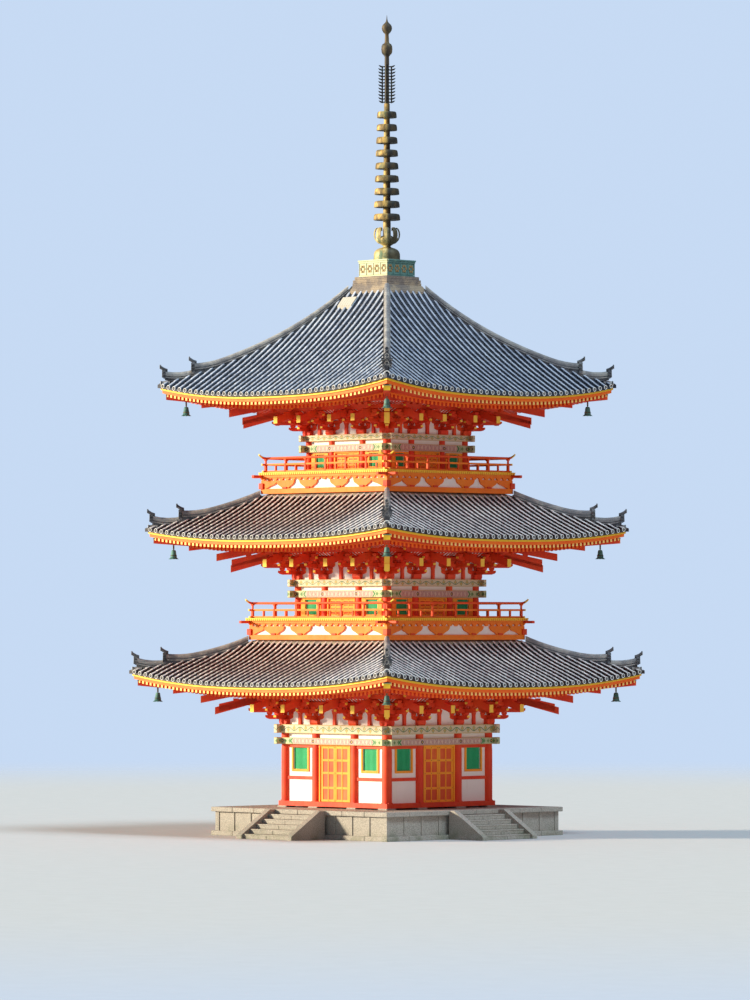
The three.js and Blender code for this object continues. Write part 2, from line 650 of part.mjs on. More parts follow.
function cornerRidges(roof, topZ) {
  const line = roofLine(roof);
  const moved = (by) => line.map(({ s, z, lift }) => ({ s, z: z + by, lift }));
  const tiles = squareSweep([...moved(FIT), ...moved(-3 * RIDGE.sunk).reverse()]);
  const edge = roof.eaveHalf + TILES.overhang;
  const hipAt = (r) => {
    const point = surface(roof, r / Math.SQRT2);
    return point.z + point.lift;
  };
  const isTop = roof === TOP_ROOF;
  const head = isTop ? SPIRE.plinthHalf + 2 * FIT : roof.topHalf + 10;
  const apron = isTop ? FLASHING.topApron : FLASHING.apron;
  const rim = head + apron;
  const start = (rim - FLASHING.lap) * Math.SQRT2;
  const edgeR = edge * Math.SQRT2;
  const mainEnd = edgeR - RIDGE.mainFromEdge;
  const ridgeLine = (from, to, height, tip) => {
    const count = 4;
    const stops = Array.from({ length: count + 1 }, (_, n) => from + ((to - from) * n) / count);
    const low = stops.map((r) => [r, hipAt(r) - RIDGE.sunk]);
    const high = stops.map((r) => [r, hipAt(r) + height]).reverse();
    high[0][1] += tip;
    return [...low, ...high];
  };
  const main = plate(ridgeLine(start, mainEnd, RIDGE.mainHeight, RIDGE.mainTip), RIDGE.width);
  const lesserLine = ridgeLine(
    mainEnd - RIDGE.overlap, edgeR - RIDGE.lesserFromEdge, RIDGE.lesserHeight, RIDGE.lesserTip);
  const lesser = plate(lesserLine, RIDGE.lesserWidth);
  const low = (s) => surface(roof, s).z - RIDGE.sunk / 2;
  const rimTop = surface(roof, rim).z + FLASHING.rim;
  const collar = squareSweep([
    { s: head, z: low(head) }, { s: rim, z: low(rim) }, { s: rim, z: rimTop }, { s: head, z: topZ }], 1);
  return cut(join(collar, fourCorners(main), fourCorners(lesser)), tiles);
}

const flashingTop = [
  STOREYS[1].balcony.low - FIT, STOREYS[2].balcony.low - FIT, SPIRE.foot + FLASHING.aboveSpireFoot];
ROOFS.forEach((roof, i) => {
  const number = i + 1;
  const storey = STOREYS[i];
  addPiece(`brackets_${number}`, brackets(storey, roof), "vermilion");
  addPiece(`eave_purlin_${number}`, eavePurlin(storey, roof), "vermilion");
  addPiece(`eaves_${number}`, eaves(roof, storey), "orange");
  addPiece(`roof_tiles_${number}`, roofShell(roof), "tile");
  addPiece(`corner_ridges_${number}`, cornerRidges(roof, flashingTop[i]), "tile");
});

// The boarded hatch near the top of the highest roof, on its front face.
function hatch() {
  const low = surface(TOP_ROOF, HATCH.low);
  const high = surface(TOP_ROOF, HATCH.high);
  const outline = [
    [low.s, low.z + FIT], [low.s, low.z + HATCH.height],
    [high.s, high.z + HATCH.height], [high.s, high.z + FIT]];
  return plate(outline, HATCH.width, HATCH.middle);
}
addPiece("roof_hatch", hatch(), "board");

// The spire.
function spireBase() {
  const { foot, plinthHalf, plinthTop, basinHalf, basinTop, hollow, flange, flangeHeight } = SPIRE;
  const lid = basinHalf + flange;
  return join(
    squareRing(hollow, plinthHalf, foot + FIT, plinthTop),
    squareRing(hollow, basinHalf, plinthTop - LET_IN, basinTop - LET_IN),
    box(-lid, lid, -lid, lid, basinTop - flangeHeight, basinTop));
}

function bowlAndLotus() {
  const { basinTop, bowlRadius: bowl, lotusRadius: lotus, lotusTop, mastFoot } = SPIRE;
  const foot = basinTop + FIT;
  return lathe([
    [0, foot], [bowl, foot], [bowl, foot + 120], [bowl * 0.86, foot + 320], [bowl * 0.5, foot + 470],
    [200, foot + 530], [220, foot + 640], [lotus - 60, foot + 900], [lotus, lotusTop - 60],
    [lotus - 50, lotusTop], [lotus - 110, lotusTop - 180], [230, mastFoot], [0, mastFoot]], 12);
}

function mastWithRings() {
  const { mastFoot, ringLow, ringHigh, rings, ringRadius, ringHeight, ringFoot, ringBevel } = SPIRE;
  const { shaft, flameLow } = SPIRE;
  const foot = mastFoot + FIT;
  const top = flameLow - FIT;
  const shaftAt = (z) => shaft[0] + ((shaft[1] - shaft[0]) * (z - foot)) / (top - foot);
  const profile = [[0, foot], [shaft[0], foot]];
  for (let n = 0; n < rings; n += 1) {
    const z = ringLow + ((ringHigh - ringLow) * n) / (rings - 1);
    const radius = ringRadius[0] + ((ringRadius[1] - ringRadius[0]) * n) / (rings - 1);
    const low = z - ringHeight / 2;
    const high = z + ringHeight / 2;
    profile.push(
      [shaftAt(low), low], [radius * ringFoot, low], [radius, low + ringBevel], [radius, high],
      [shaftAt(high), high]);
  }
  profile.push([shaft[1], top], [0, top]);
  return lathe(profile, 8);
}

function flames() {
  const { flameLow, flameHigh, flameRadius: radius } = SPIRE;
  const tall = flameHigh - flameLow;
  const line = [
    [0, 0.01], [0.7, 0.01], [1, 0.08], [1, 0.92], [0.8, 0.99], [0, 0.99]]
    .map(([d, share]) => [d * radius, flameLow + share * tall]);
  const core = lathe([[0, flameLow], [90, flameLow], [80, flameHigh], [0, flameHigh]], 12);
  return join(core, fourCorners(plate(line, 36)));
}

function jewels() {
  const { flameHigh, ballZ, jewelZ, tip } = SPIRE;
  return lathe([
    [0, flameHigh + FIT], [90, flameHigh + FIT], [80, ballZ - 240], [150, ballZ - 200], [208, ballZ - 60],
    [208, ballZ + 60], [150, ballZ + 200], [80, ballZ + 240], [70, jewelZ - 230], [140, jewelZ - 150],
    [196, jewelZ], [140, jewelZ + 150], [50, jewelZ + 280], [0, tip]], 12);
}

addPiece("spire_base", spireBase(), "verdigris");
addPiece("spire_bowl_and_lotus", bowlAndLotus(), "bronze");
addPiece("spire_rings", mastWithRings(), "bronze");
addPiece("spire_flames", flames(), "bronze");
addPiece("spire_jewels", jewels(), "bronze");

// The wind bells: each hangs by its eye from the pin under a hip rafter and swings along the diagonal.
function bell() {
  const body = lathe([
    [0, -48], [75, -62], [122, -310], [188, -375], [188, -400], [155, -400], [98, -305], [62, -110],
    [0, -100]].reverse(), 6);
  const lug = plate([[-28, 0], [-16, 26], [16, 26], [28, 0], [28, -70], [-28, -70]], BELL.lug);
  const eye = new THREE.CylinderGeometry(BELL.eye, BELL.eye, BELL.lug + 20, 8).rotateZ(Math.PI / 2);
  return cut(join(body, lug), eye);
}

const CORNERS = ["front_right", "back_right", "back_left", "front_left"];
ROOFS.forEach((roof, i) => {
  const { reach, z } = bellPivot(roof, STOREYS[i]);
  CORNERS.forEach((corner, quarter) => {
    const hanger = new THREE.Group();
    hanger.rotation.z = Math.PI / 4 + (quarter * Math.PI) / 2;
    hanger.position.set(Math.sin(hanger.rotation.z) * reach, -Math.cos(hanger.rotation.z) * reach, z);
    pagoda.add(hanger);
    addPiece(`bell_${i + 1}_${corner}`, bell(), "verdigris", hanger);
  });
});

export default pagoda;
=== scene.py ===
import math

import bmesh
import bpy
import numpy as np
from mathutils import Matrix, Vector


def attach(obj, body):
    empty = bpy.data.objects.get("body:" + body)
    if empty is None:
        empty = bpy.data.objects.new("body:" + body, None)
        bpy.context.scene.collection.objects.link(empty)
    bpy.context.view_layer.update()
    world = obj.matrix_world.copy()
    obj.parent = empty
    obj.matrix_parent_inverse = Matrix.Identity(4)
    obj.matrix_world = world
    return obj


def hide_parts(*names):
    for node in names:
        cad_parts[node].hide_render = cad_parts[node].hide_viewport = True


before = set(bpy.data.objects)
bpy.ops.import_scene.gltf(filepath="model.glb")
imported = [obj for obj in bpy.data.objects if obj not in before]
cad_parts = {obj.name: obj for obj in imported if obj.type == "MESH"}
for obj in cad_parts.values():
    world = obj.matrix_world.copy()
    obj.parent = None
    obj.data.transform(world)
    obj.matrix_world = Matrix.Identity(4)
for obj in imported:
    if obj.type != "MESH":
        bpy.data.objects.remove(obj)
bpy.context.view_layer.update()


# The studio: a pale round floor that fades out, a low warm sun on the front left, soft light on the
# right, and a camera where the photo was taken, level with the second storey and 200 m away.
CAMERA_AZIMUTH = 45
CAMERA_AWAY = 204.0
CAMERA_HEIGHT = 7.9
AIM_HEIGHT = 12.64
AIM_LEFT = 0.45
LENS = 194.4
FAR = 2000.0
SKY = (0.60, 0.74, 0.95)
FLOOR_RADIUS = 120.0


class Value:
    """A socket of a finish. What is reckoned with it adds Math nodes to that finish."""

    def __init__(self, finish, socket):
        self.finish = finish
        self.socket = socket

    def reckoned(self, operation, *values):
        return self.finish.node("Math", {"operation": operation}, dict(enumerate(values)))

    def __abs__(self):
        return self.reckoned("ABSOLUTE", self)

    def above(self, edge):
        return self.reckoned("GREATER_THAN", self, edge)

    def below(self, edge):
        return self.reckoned("LESS_THAN", self, edge)

    def most(self, other):
        return self.reckoned("MAXIMUM", self, other)

    def share(self, low, high):
        """0 below low, 1 above high, and a soft step between them."""
        return self.finish.node(
            "MapRange", {"interpolation_type": "SMOOTHSTEP"}, {0: self, 1: low, 2: high})


def operator(operation, turned_round=False):
    """A method of Value that reckons with it and another value, in that order or turned round."""
    def method(self, other):
        return self.reckoned(operation, *((other, self) if turned_round else (self, other)))
    return method


for sign, operation in (("add", "ADD"), ("sub", "SUBTRACT"), ("mul", "MULTIPLY"), ("truediv", "DIVIDE"),
                        ("mod", "FLOORED_MODULO"), ("pow", "POWER")):
    setattr(Value, f"__{sign}__", operator(operation))
    setattr(Value, f"__r{sign}__", operator(operation, True))


def linear(tone):
    """A colour written as 0xRRGGBB, as it looks on a screen, in the shader's linear numbers."""
    parts = (tone >> 16, tone >> 8 & 255, tone & 255)
    return tuple(((part / 255 + 0.055) / 1.055) ** 2.4 for part in parts) + (1.0,)


class Finish:
    """A material that is being mixed: its nodes, and the shader that they feed."""

    def __init__(self, name):
        self.material = bpy.data.materials.new(name)
        self.material.use_nodes = True
        self.tree = self.material.node_tree
        self.tree.nodes.clear()

    def node(self, kind, settings=None, inputs=None, output=0):
        made = self.tree.nodes.new("ShaderNode" + kind)
        for key, value in (settings or {}).items():
            setattr(made, key, value)
        for key, value in (inputs or {}).items():
            if isinstance(value, Value):
                self.tree.links.new(value.socket, made.inputs[key])
            else:
                made.inputs[key].default_value = value
        return Value(self, made.outputs[output])

    def place(self, axis=None):
        """The point on the object, in metres, or its part along an axis."""
        point = self.node("TexCoord", output="Object")
        return point if axis is None else self.part_of(point, axis)

    def part_of(self, vector, axis):
        return self.node("SeparateXYZ", inputs={0: vector}, output=axis)

    def noise(self, scale, detail=4.0, stretch=(1.0, 1.0, 1.0)):
        """Soft patches from 0 to 1, so many to the metre, drawn out along the axes by stretch."""
        place = self.node("VectorMath", {"operation": "MULTIPLY"}, {0: self.place(), 1: stretch})
        return self.node(
            "TexNoise", inputs={"Vector": place, "Scale": scale, "Detail": detail, "Roughness": 0.55})

    def mixed(self, share, below, above):
        """One colour where share is 0 and the other where it is 1."""
        tones = [linear(tone) if isinstance(tone, int) else tone for tone in (below, above)]
        return self.node("Mix", {"data_type": "RGBA"}, {0: share, 6: tones[0], 7: tones[1]}, output=2)

    def done(self, tone, roughness, relief=None, depth=0.002, metallic=0.0, alpha=1.0):
        """Ends the finish with its shader. Relief is a height from 0 to 1, depth metres high."""
        inputs = {"Base Color": tone, "Roughness": roughness, "Metallic": metallic, "Alpha": alpha}
        if relief is not None:
            inputs["Normal"] = self.node("Bump", inputs={"Height": relief, "Distance": depth})
        shader = self.node("BsdfPrincipled", inputs=inputs)
        out = self.tree.nodes.new("ShaderNodeOutputMaterial")
        self.tree.links.new(shader.socket, out.inputs["Surface"])
        return self.material


def two_tone(name, patches, dark, light, roughness, grain, depth=0.002, metallic=0.0, worn=None):
    """Two colours in patches, with a grain; worn adds spots of a third: their noise, amount and colour."""
    finish = Finish(name)
    tone = finish.mixed(finish.noise(*patches), dark, light)
    if worn is not None:
        spots, amount, third = worn
        tone = finish.mixed(finish.noise(*spots).share(0.6, 0.85) * amount, tone, third)
    return finish.done(tone, roughness, finish.noise(*grain), depth, metallic)


def towards(azimuth, elevation):
    """The direction from the pagoda towards that side of it."""
    around, up = math.radians(azimuth), math.radians(elevation)
    return Vector((math.sin(around) * math.cos(up), -math.cos(around) * math.cos(up), math.sin(up)))


def sun(name, azimuth, elevation, strength, tint, softness):
    light = bpy.data.lights.new(name, "SUN")
    light.energy = strength
    light.color = tint
    light.angle = math.radians(softness)
    lamp = bpy.data.objects.new(name, light)
    lamp.rotation_euler = towards(azimuth, elevation).to_track_quat("Z", "Y").to_euler()
    bpy.context.scene.collection.objects.link(lamp)


camera = bpy.data.objects.new("camera", bpy.data.cameras.new("camera"))
camera.data.lens = LENS
camera.data.clip_end = FAR
camera.location = towards(CAMERA_AZIMUTH, 0) * CAMERA_AWAY + Vector((0, 0, CAMERA_HEIGHT))
aim = towards(CAMERA_AZIMUTH - 90, 0) * AIM_LEFT + Vector((0, 0, AIM_HEIGHT))
camera.rotation_euler = (aim - camera.location).to_track_quat("-Z", "Y").to_euler()
bpy.context.scene.collection.objects.link(camera)
bpy.context.scene.camera = camera
bpy.context.scene.view_settings.view_transform = "Standard"

sun("low_sun", -42, 13, 7.0, (1.0, 0.87, 0.68), 7)
sun("sky_light", 96, 60, 2.4, (0.66, 0.85, 1.0), 20)
sun("bounced_light", 100, 4, 0.3, (1.0, 0.45, 0.28), 20)

world = bpy.data.worlds.new("sky")
world.use_nodes = True
sky = world.node_tree
lighting = sky.nodes["Background"]
backdrop = sky.nodes.new("ShaderNodeBackground")
for background, strength in ((lighting, 0.36), (backdrop, 0.95)):
    background.inputs["Color"].default_value = (*SKY, 1.0)
    background.inputs["Strength"].default_value = strength
either = sky.nodes.new("ShaderNodeMixShader")
sky.links.new(sky.nodes.new("ShaderNodeLightPath").outputs["Is Camera Ray"], either.inputs[0])
sky.links.new(lighting.outputs[0], either.inputs[1])
sky.links.new(backdrop.outputs[0], either.inputs[2])
sky.links.new(either.outputs[0], sky.nodes["World Output"].inputs["Surface"])
bpy.context.scene.world = world


def floor_finish():
    finish = Finish("pale_floor")
    away = finish.node("VectorMath", {"operation": "LENGTH"}, {0: finish.place()}, output="Value")
    faded = 1 - away.share(FLOOR_RADIUS * 0.45, FLOOR_RADIUS * 0.98)
    return finish.done(finish.mixed(finish.noise(1.2), 0xC2C0BB, 0xCCCAC6), 0.85, alpha=faded)


bpy.ops.mesh.primitive_circle_add(
    vertices=96, radius=FLOOR_RADIUS, fill_type="NGON", location=(0, 0, -0.002))
floor = bpy.context.object
floor.name = "floor"
floor.data.materials.append(floor_finish())


# The podium: a low platform of cut granite, with a footing course, a face of upright panel stones
# between pilasters, a projecting cap course, paving, and a square base stone under each column.
PODIUM_HALF = 4.7
PODIUM_WALL = 4.58
PODIUM_HIGH = 1.06
COURSE = 0.17
COURSE_STONES = 8
PANELS = 10
PILASTER_HALF = 0.07
SLABS = 12
JOINT = 0.008
STONE_HALF = 0.25
STONE_TOP = 1.12
STOREY_1 = {
    "number": 1, "column": 2.68, "inner": 1.025, "radius": 0.19, "foot": 1.12, "sill": 1.30,
    "lower": (3.436, 3.682), "upper": (3.852, 4.176), "window": (0.76, 2.50, 3.33),
}
STOREY_2 = {
    "number": 2, "column": 2.345, "inner": 0.905, "radius": 0.165, "foot": 8.18, "sill": 8.25,
    "lower": (8.949, 9.213), "upper": (9.365, 9.629), "window": (0.62, 8.307, 8.874),
    "balcony": 3.685, "low": 7.363, "deck": 3.786, "rail": 8.783,
}
STOREY_3 = {
    "number": 3, "column": 2.06, "inner": 0.82, "radius": 0.15, "foot": 13.67, "sill": 13.72,
    "lower": (14.425, 14.689), "upper": (14.84, 15.067), "window": (0.48, 13.844, 14.335),
    "balcony": 3.37, "low": 12.865, "deck": 3.436, "rail": 14.255,
}
STOREYS = (STOREY_1, STOREY_2, STOREY_3)
SIDES = {"front": 0, "right": 90, "back": 180, "left": 270}
QUARTERS = (0, 90, 180, 270)
DIAGONALS = (45, 135, 225, 315)


def angles(count):
    """So many angles, all round."""
    return [math.tau * n / count for n in range(count)]


def about_axis(x, y, degrees):
    """A place, or a whole row of them, turned about the pagoda's axis."""
    cosine, sine = math.cos(math.radians(degrees)), math.sin(math.radians(degrees))
    return cosine * x - sine * y, sine * x + cosine * y


class Shape:
    """The points and faces of a piece while it is put together. Each face has its finish's number.

    What is added lies on the front side, with x along the side, d outwards from the axis and z up.
    """

    def __init__(self):
        self.points = []
        self.faces = []
        self.finishes = []
        self.count = 0

    def add(self, points, faces, finishes):
        self.points.append(points)
        self.faces += [[self.count + i for i in face] for face in faces]
        self.finishes += finishes
        self.count += len(points)

    def include(self, other, degrees=0, at=(0, 0, 0)):
        """Another shape, turned about the pagoda's axis and then moved."""
        x, y, z = np.vstack(other.points).T
        self.add(np.column_stack((*about_axis(x, y, degrees), z)) + at, other.faces, other.finishes)

    def all_sides(self, part, turns=QUARTERS, clear=0.0):
        """The part on each side. Every second one is moved by clear, where two would share a face."""
        for n, degrees in enumerate(turns):
            moved = clear * (n % 2)
            self.include(part, degrees, (moved, -0.7 * moved, moved))

    def loft(self, rings, finish=0, closed=False):
        """A skin over rings of points; it has two ends, or closes on itself."""
        size, count = len(rings[0]), len(rings)
        faces = []
        for ring in range(count if closed else count - 1):
            here, there = ring * size, (ring + 1) % count * size
            for i in range(size):
                j = (i + 1) % size
                faces.append((here + i, here + j, there + j, there + i))
        if not closed:
            faces += [range(size - 1, -1, -1), range((count - 1) * size, count * size)]
        self.add(np.vstack([np.asarray(ring, float) for ring in rings]), faces, [finish] * len(faces))

    def block(self, x0, x1, d0, d1, z0, z1, chamfer=0.0, finish=0):
        """A squared block from d0 in to d1, with its edges taken off where a chamfer is given."""
        def ring(inset, z):
            x_low, x_high, y_low, y_high = x0 + inset, x1 - inset, inset - d0, -d1 - inset
            if not chamfer:
                return [(x_low, y_low, z), (x_high, y_low, z), (x_high, y_high, z), (x_low, y_high, z)]
            c = chamfer
            return [(x_low + c, y_low, z), (x_high - c, y_low, z), (x_high, y_low + c, z),
                    (x_high, y_high - c, z), (x_high - c, y_high, z), (x_low + c, y_high, z),
                    (x_low, y_high - c, z), (x_low, y_low + c, z)]
        levels = [(0, z0), (0, z1)]
        if chamfer:
            half = chamfer * 0.7
            levels = [(half, z0), (0, z0 + chamfer), (0, z1 - chamfer), (half, z1)]
        self.loft([ring(inset, z) for inset, z in levels], finish)

    def post(self, x, d, half_x, half_d, z0, z1, chamfer=0.0, finish=0):
        """A squared block round the line at x and d."""
        self.block(x - half_x, x + half_x, d + half_d, d - half_d, z0, z1, chamfer, finish)

    def pair(self, x0, x1, d0, d1, z0, z1, chamfer=0.0, finish=0):
        """A squared block from x0 to x1, and its mirror image at the other end of the side."""
        self.block(-x1, -x0, d0, d1, z0, z1, chamfer, finish)
        self.block(x0, x1, d0, d1, z0, z1, chamfer, finish)

    def plate(self, outline, width, along=0.0, finish=0):
        """An outline of (d, z) with a width along the side."""
        self.loft([[(along + side * width / 2, -d, z) for d, z in outline] for side in (-1, 1)], finish)

    def panel(self, outline, near, far, finish=0):
        """An outline of (x, z), from near to far outwards."""
        self.loft([[(x, -d, z) for x, z in outline] for d in (near, far)], finish)

    def ring(self, section, finish=0):
        """A section of (half-side, z) drawn round the pagoda as a squared ring."""
        self.loft([[(*about_axis(-s, -s, degrees), z) for s, z in section] for degrees in QUARTERS],
                  finish, closed=True)

    def square_ring(self, inner, outer, z0, z1, finish=0):
        self.ring([(inner, z0), (outer, z0), (outer, z1), (inner, z1)], finish)


def all_round(side, clear=0.0):
    """A new shape with the side's part on each of the four sides."""
    whole = Shape()
    whole.all_sides(side, clear=clear)
    return whole


def piece(name, shape, finishes, replaced, body="tower", smooth=None):
    """Makes the shape a mesh object that rides on a body. Smooth is the angle under which edges blend."""
    mesh = bpy.data.meshes.new(name)
    mesh.from_pydata(np.vstack(shape.points).tolist(), [], shape.faces)
    mesh.polygons.foreach_set("material_index", shape.finishes)
    for finish in finishes:
        mesh.materials.append(finish)
    tidy = bmesh.new()
    tidy.from_mesh(mesh)
    bmesh.ops.recalc_face_normals(tidy, faces=tidy.faces)
    tidy.to_mesh(mesh)
    tidy.free()
    if smooth is not None:
        mesh.shade_smooth()
        mesh.set_sharp_from_angle(angle=math.radians(smooth))
    made = bpy.data.objects.new(name, mesh)
    bpy.context.scene.collection.objects.link(made)
    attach(made, body)
    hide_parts(*replaced)


def stone_finish():
    finish = Finish("granite")
    grain = finish.noise(26, 6)
    patches = finish.noise(1.6, 3)
    damp_and_shade = (1 - finish.place("Z").share(0.0, 0.7)) * patches.share(0.35, 0.7)
    tone = finish.mixed(patches, 0xA8A092, 0xC4BDAE)
    tone = finish.mixed(grain.share(0.3, 0.75), tone, 0x807C74)
    tone = finish.mixed(damp_and_shade * 0.6, tone, 0x5C6246)
    return finish.done(tone, 0.85, grain + patches * 0.5, 0.006)


def stations(count, half, gap=0.0):
    """The two ends of each of so many equal lengths of a side, with a gap between neighbours."""
    length = 2 * half / count
    return [(-half + n * length + gap / 2, -half + (n + 1) * length - gap / 2) for n in range(count)]


def podium_shape():
    side = Shape()
    for inner, z0, z1, chamfer in ((0.3, 0.0, COURSE, 0.012),
                                   (0.5, PODIUM_HIGH - COURSE, PODIUM_HIGH, 0.015)):
        for x0, x1 in stations(COURSE_STONES, PODIUM_HALF, JOINT):
            side.block(x0, x1, PODIUM_HALF, PODIUM_HALF - inner, z0, z1, chamfer)
    for x0, x1 in stations(PANELS, PODIUM_WALL, JOINT):
        side.block(x0, x1, PODIUM_WALL - 0.035, PODIUM_WALL - 0.2, COURSE - 0.01, PODIUM_HIGH - COURSE + 0.01,
                   0.006)
    reach = PODIUM_WALL - PILASTER_HALF
    for x in np.linspace(-reach, reach, PANELS + 1):
        side.block(x - PILASTER_HALF, x + PILASTER_HALF, PODIUM_WALL, PODIUM_WALL - 0.15,
                   COURSE, PODIUM_HIGH - COURSE, 0.008)
    whole = all_round(side, clear=0.002)
    core = PODIUM_WALL - 0.15
    whole.block(-core, core, core, -core, 0.0, PODIUM_HIGH - 0.03)
    paved = stations(SLABS, PODIUM_HALF - 0.5 - JOINT, JOINT)
    for y0, y1 in paved:
        for x0, x1 in paved:
            whole.block(x0, x1, -y0, -y1, PODIUM_HIGH - 0.05, PODIUM_HIGH, 0.004)
    stones = Shape()
    for x in (-STOREY_1["column"], -STOREY_1["inner"], STOREY_1["inner"]):
        stones.post(x, STOREY_1["column"], STONE_HALF, STONE_HALF, PODIUM_HIGH - 0.02, STONE_TOP, 0.02)
    whole.all_sides(stones)
    return whole


granite = stone_finish()
piece("podium_stones", podium_shape(), [granite], ["podium"])


# The steps: a flight of solid granite treads on each side between two sloping cheek stones, laid
# dry against the podium.
STAIR_WIDTH = 2.4
TREADS = 5
TREAD = 0.32
NOSING = 0.01
CHEEK = 0.26
CHEEK_RISE = 0.12


def stair_shape():
    shape = Shape()
    start = PODIUM_HALF + 0.001
    reach = start + TREADS * TREAD
    rise = PODIUM_HIGH / (TREADS + 1)
    for n in range(TREADS):
        front, z = reach - n * TREAD, (n + 1) * rise
        shape.pair(JOINT / 2, STAIR_WIDTH / 2, front, start, n * rise + 0.002, z, 0.012)
        shape.block(-STAIR_WIDTH / 2, STAIR_WIDTH / 2, front + NOSING, front - 0.1, z - 0.05, z + 0.001, 0.01)
    end = reach + CHEEK / 2
    outline = [(start, 0), (end, 0), (end, CHEEK_RISE), (end - 0.05, CHEEK_RISE + 0.05),
               (start + 0.25, PODIUM_HIGH - 0.01), (start, PODIUM_HIGH - 0.01)]
    for side in (-1, 1):
        shape.plate(outline, CHEEK, side * (STAIR_WIDTH / 2 + CHEEK / 2))
    return shape


for side_name, degrees in SIDES.items():
    flight = Shape()
    flight.include(stair_shape(), degrees)
    piece(f"steps_{side_name}_stones", flight, [granite], [f"steps_{side_name}"])


# The floor of the ground storey: wide bare boards, laid side by side on the sill.
BOARD_WIDE = 0.24


def board_finish():
    finish = Finish("bare_boards")
    grain = finish.noise(6, 6, (0.25, 6.0, 6.0))
    seam = abs((finish.place("Y") % BOARD_WIDE) - BOARD_WIDE / 2).above(0.116)
    tone = finish.mixed(seam, finish.mixed(grain, 0xB09670, 0xD6C4A0), 0x463828)
    return finish.done(tone, 0.75, grain - seam, 0.004)


floor_1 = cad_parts["floor_1"]
floor_1.data.materials.clear()
floor_1.data.materials.append(board_finish())


# The frames: round vermilion columns on a squared sill, tied by a painted lower beam, a row of
# white plaster with column stubs, and a painted upper beam. The beams' ends pass the corners.
BEAM_OUT = 0.025
BEAM_END = 0.25
ROW_BACK = 0.04
COLUMN_SIDES = 20
TIMBER_EDGE = 0.006


def timber_finish(name, main, faded, dark):
    """Mineral paint on squared timber: faded in patches, darker where rain runs down."""
    finish = Finish(name)
    patches = finish.noise(0.9, 4)
    grain = finish.noise(5, 5, (1.0, 1.0, 0.35))
    drips = finish.noise(7, 3, (1.0, 1.0, 0.08))
    tone = finish.mixed(patches.share(0.35, 0.75), main, faded)
    tone = finish.mixed(grain.share(0.55, 0.85) * 0.35, tone, dark)
    tone = finish.mixed(drips.share(0.58, 0.8) * 0.25, tone, dark)
    return finish.done(tone, 0.55 + grain * 0.2, grain, 0.003)


def beam_place(finish, levels):
    """The place along the nearest side from its middle, and the height as a share of the beam's."""
    place = finish.place()
    x, y = finish.part_of(place, "X"), finish.part_of(place, "Y")
    sideways = abs(finish.part_of(finish.node("TexCoord", output="Normal"), "X")).above(0.6)
    low, high = levels
    return x + (y - x) * sideways, (finish.part_of(place, "Z") - (low + high) / 2) / (high - low)


def lower_beam_finish(storey):
    """Pink field, pale green ends behind chevrons, dark flower studs on the column lines."""
    finish = Finish(f"painted_lower_beam_{storey['number']}")
    along, up = beam_place(finish, storey["lower"])
    high = storey["lower"][1] - storey["lower"][0]
    away = abs(along)
    field_end = storey["column"] - 0.5
    slant = away + abs(up) * high * 0.9
    scroll = abs((along * 5.0 + finish.noise(14, 3) * 0.7) % 1.0 - 0.5) + abs(up) * 0.6
    tone = finish.mixed(scroll.below(0.24), 0xC4A89A, 0xD6C2AC)
    tone = finish.mixed(abs(scroll - 0.42).below(0.035), tone, 0xB06E68)
    ends = slant.above(field_end)
    tone = finish.mixed(ends, tone, 0xB8C898)
    chevron = abs(slant - field_end - 0.05).below(0.032).most(abs(slant - field_end - 0.16).below(0.012))
    tone = finish.mixed(chevron, tone, 0x228048)
    flower = abs((away * 4.2) % 1.0 - 0.5) + abs(up)
    tone = finish.mixed(ends * flower.below(0.3) * (1 - chevron), tone, 0x689254)
    for line in (storey["column"], storey["inner"]):
        from_stud = (away - line) ** 2.0 + (up * high) ** 2.0
        tone = finish.mixed(from_stud.below(0.0042), tone, 0x2C2C3C)
        tone = finish.mixed(from_stud.below(0.0008), tone, 0xE2BE5A)
    tone = finish.mixed(abs(up).above(0.43), tone, 0xC8AC6C)
    tone = finish.mixed(finish.noise(2, 4).share(0.4, 0.8) * 0.25, tone, 0xC4B4A8)
    return finish.done(tone, 0.7, scroll)


def upper_beam_finish(storey):
    """Cream ground with a running scroll of green and yellow, and a plain border."""
    finish = Finish(f"painted_upper_beam_{storey['number']}")
    along, up = beam_place(finish, storey["upper"])
    phase = along * 3.2
    vine = finish.node("Math", {"operation": "SINE"}, {0: phase * math.pi})
    stem = abs(up - vine * 0.2).below(0.055)
    leaf = abs((phase % 1.0) - 0.5) + abs(up + vine * 0.12) * 0.9
    tone = finish.mixed(leaf.below(0.3), 0xD4CAA6, 0x96A870)
    tone = finish.mixed(leaf.below(0.16), tone, 0xCCA458)
    tone = finish.mixed(stem, tone, 0x5C8058)
    tone = finish.mixed(abs(up).above(0.42), tone, 0xCCB074)
    tone = finish.mixed(finish.noise(2, 4).share(0.4, 0.8) * 0.25, tone, 0xC8BEAA)
    return finish.done(tone, 0.7, stem)


def circle(x, y, z, radius, sides=COLUMN_SIDES):
    return [(x + radius * math.cos(a), y + radius * math.sin(a), z) for a in angles(sides)]


def disc(x, d, z, radius, sides):
    """The points of a circle that faces outwards."""
    return [(x + radius * math.cos(a), -d, z + radius * math.sin(a)) for a in angles(sides)]


def across(x, d, z, radius, sides):
    """The points of a circle that faces along the side."""
    return [(x, -d + radius * math.cos(a), z + radius * math.sin(a)) for a in angles(sides)]


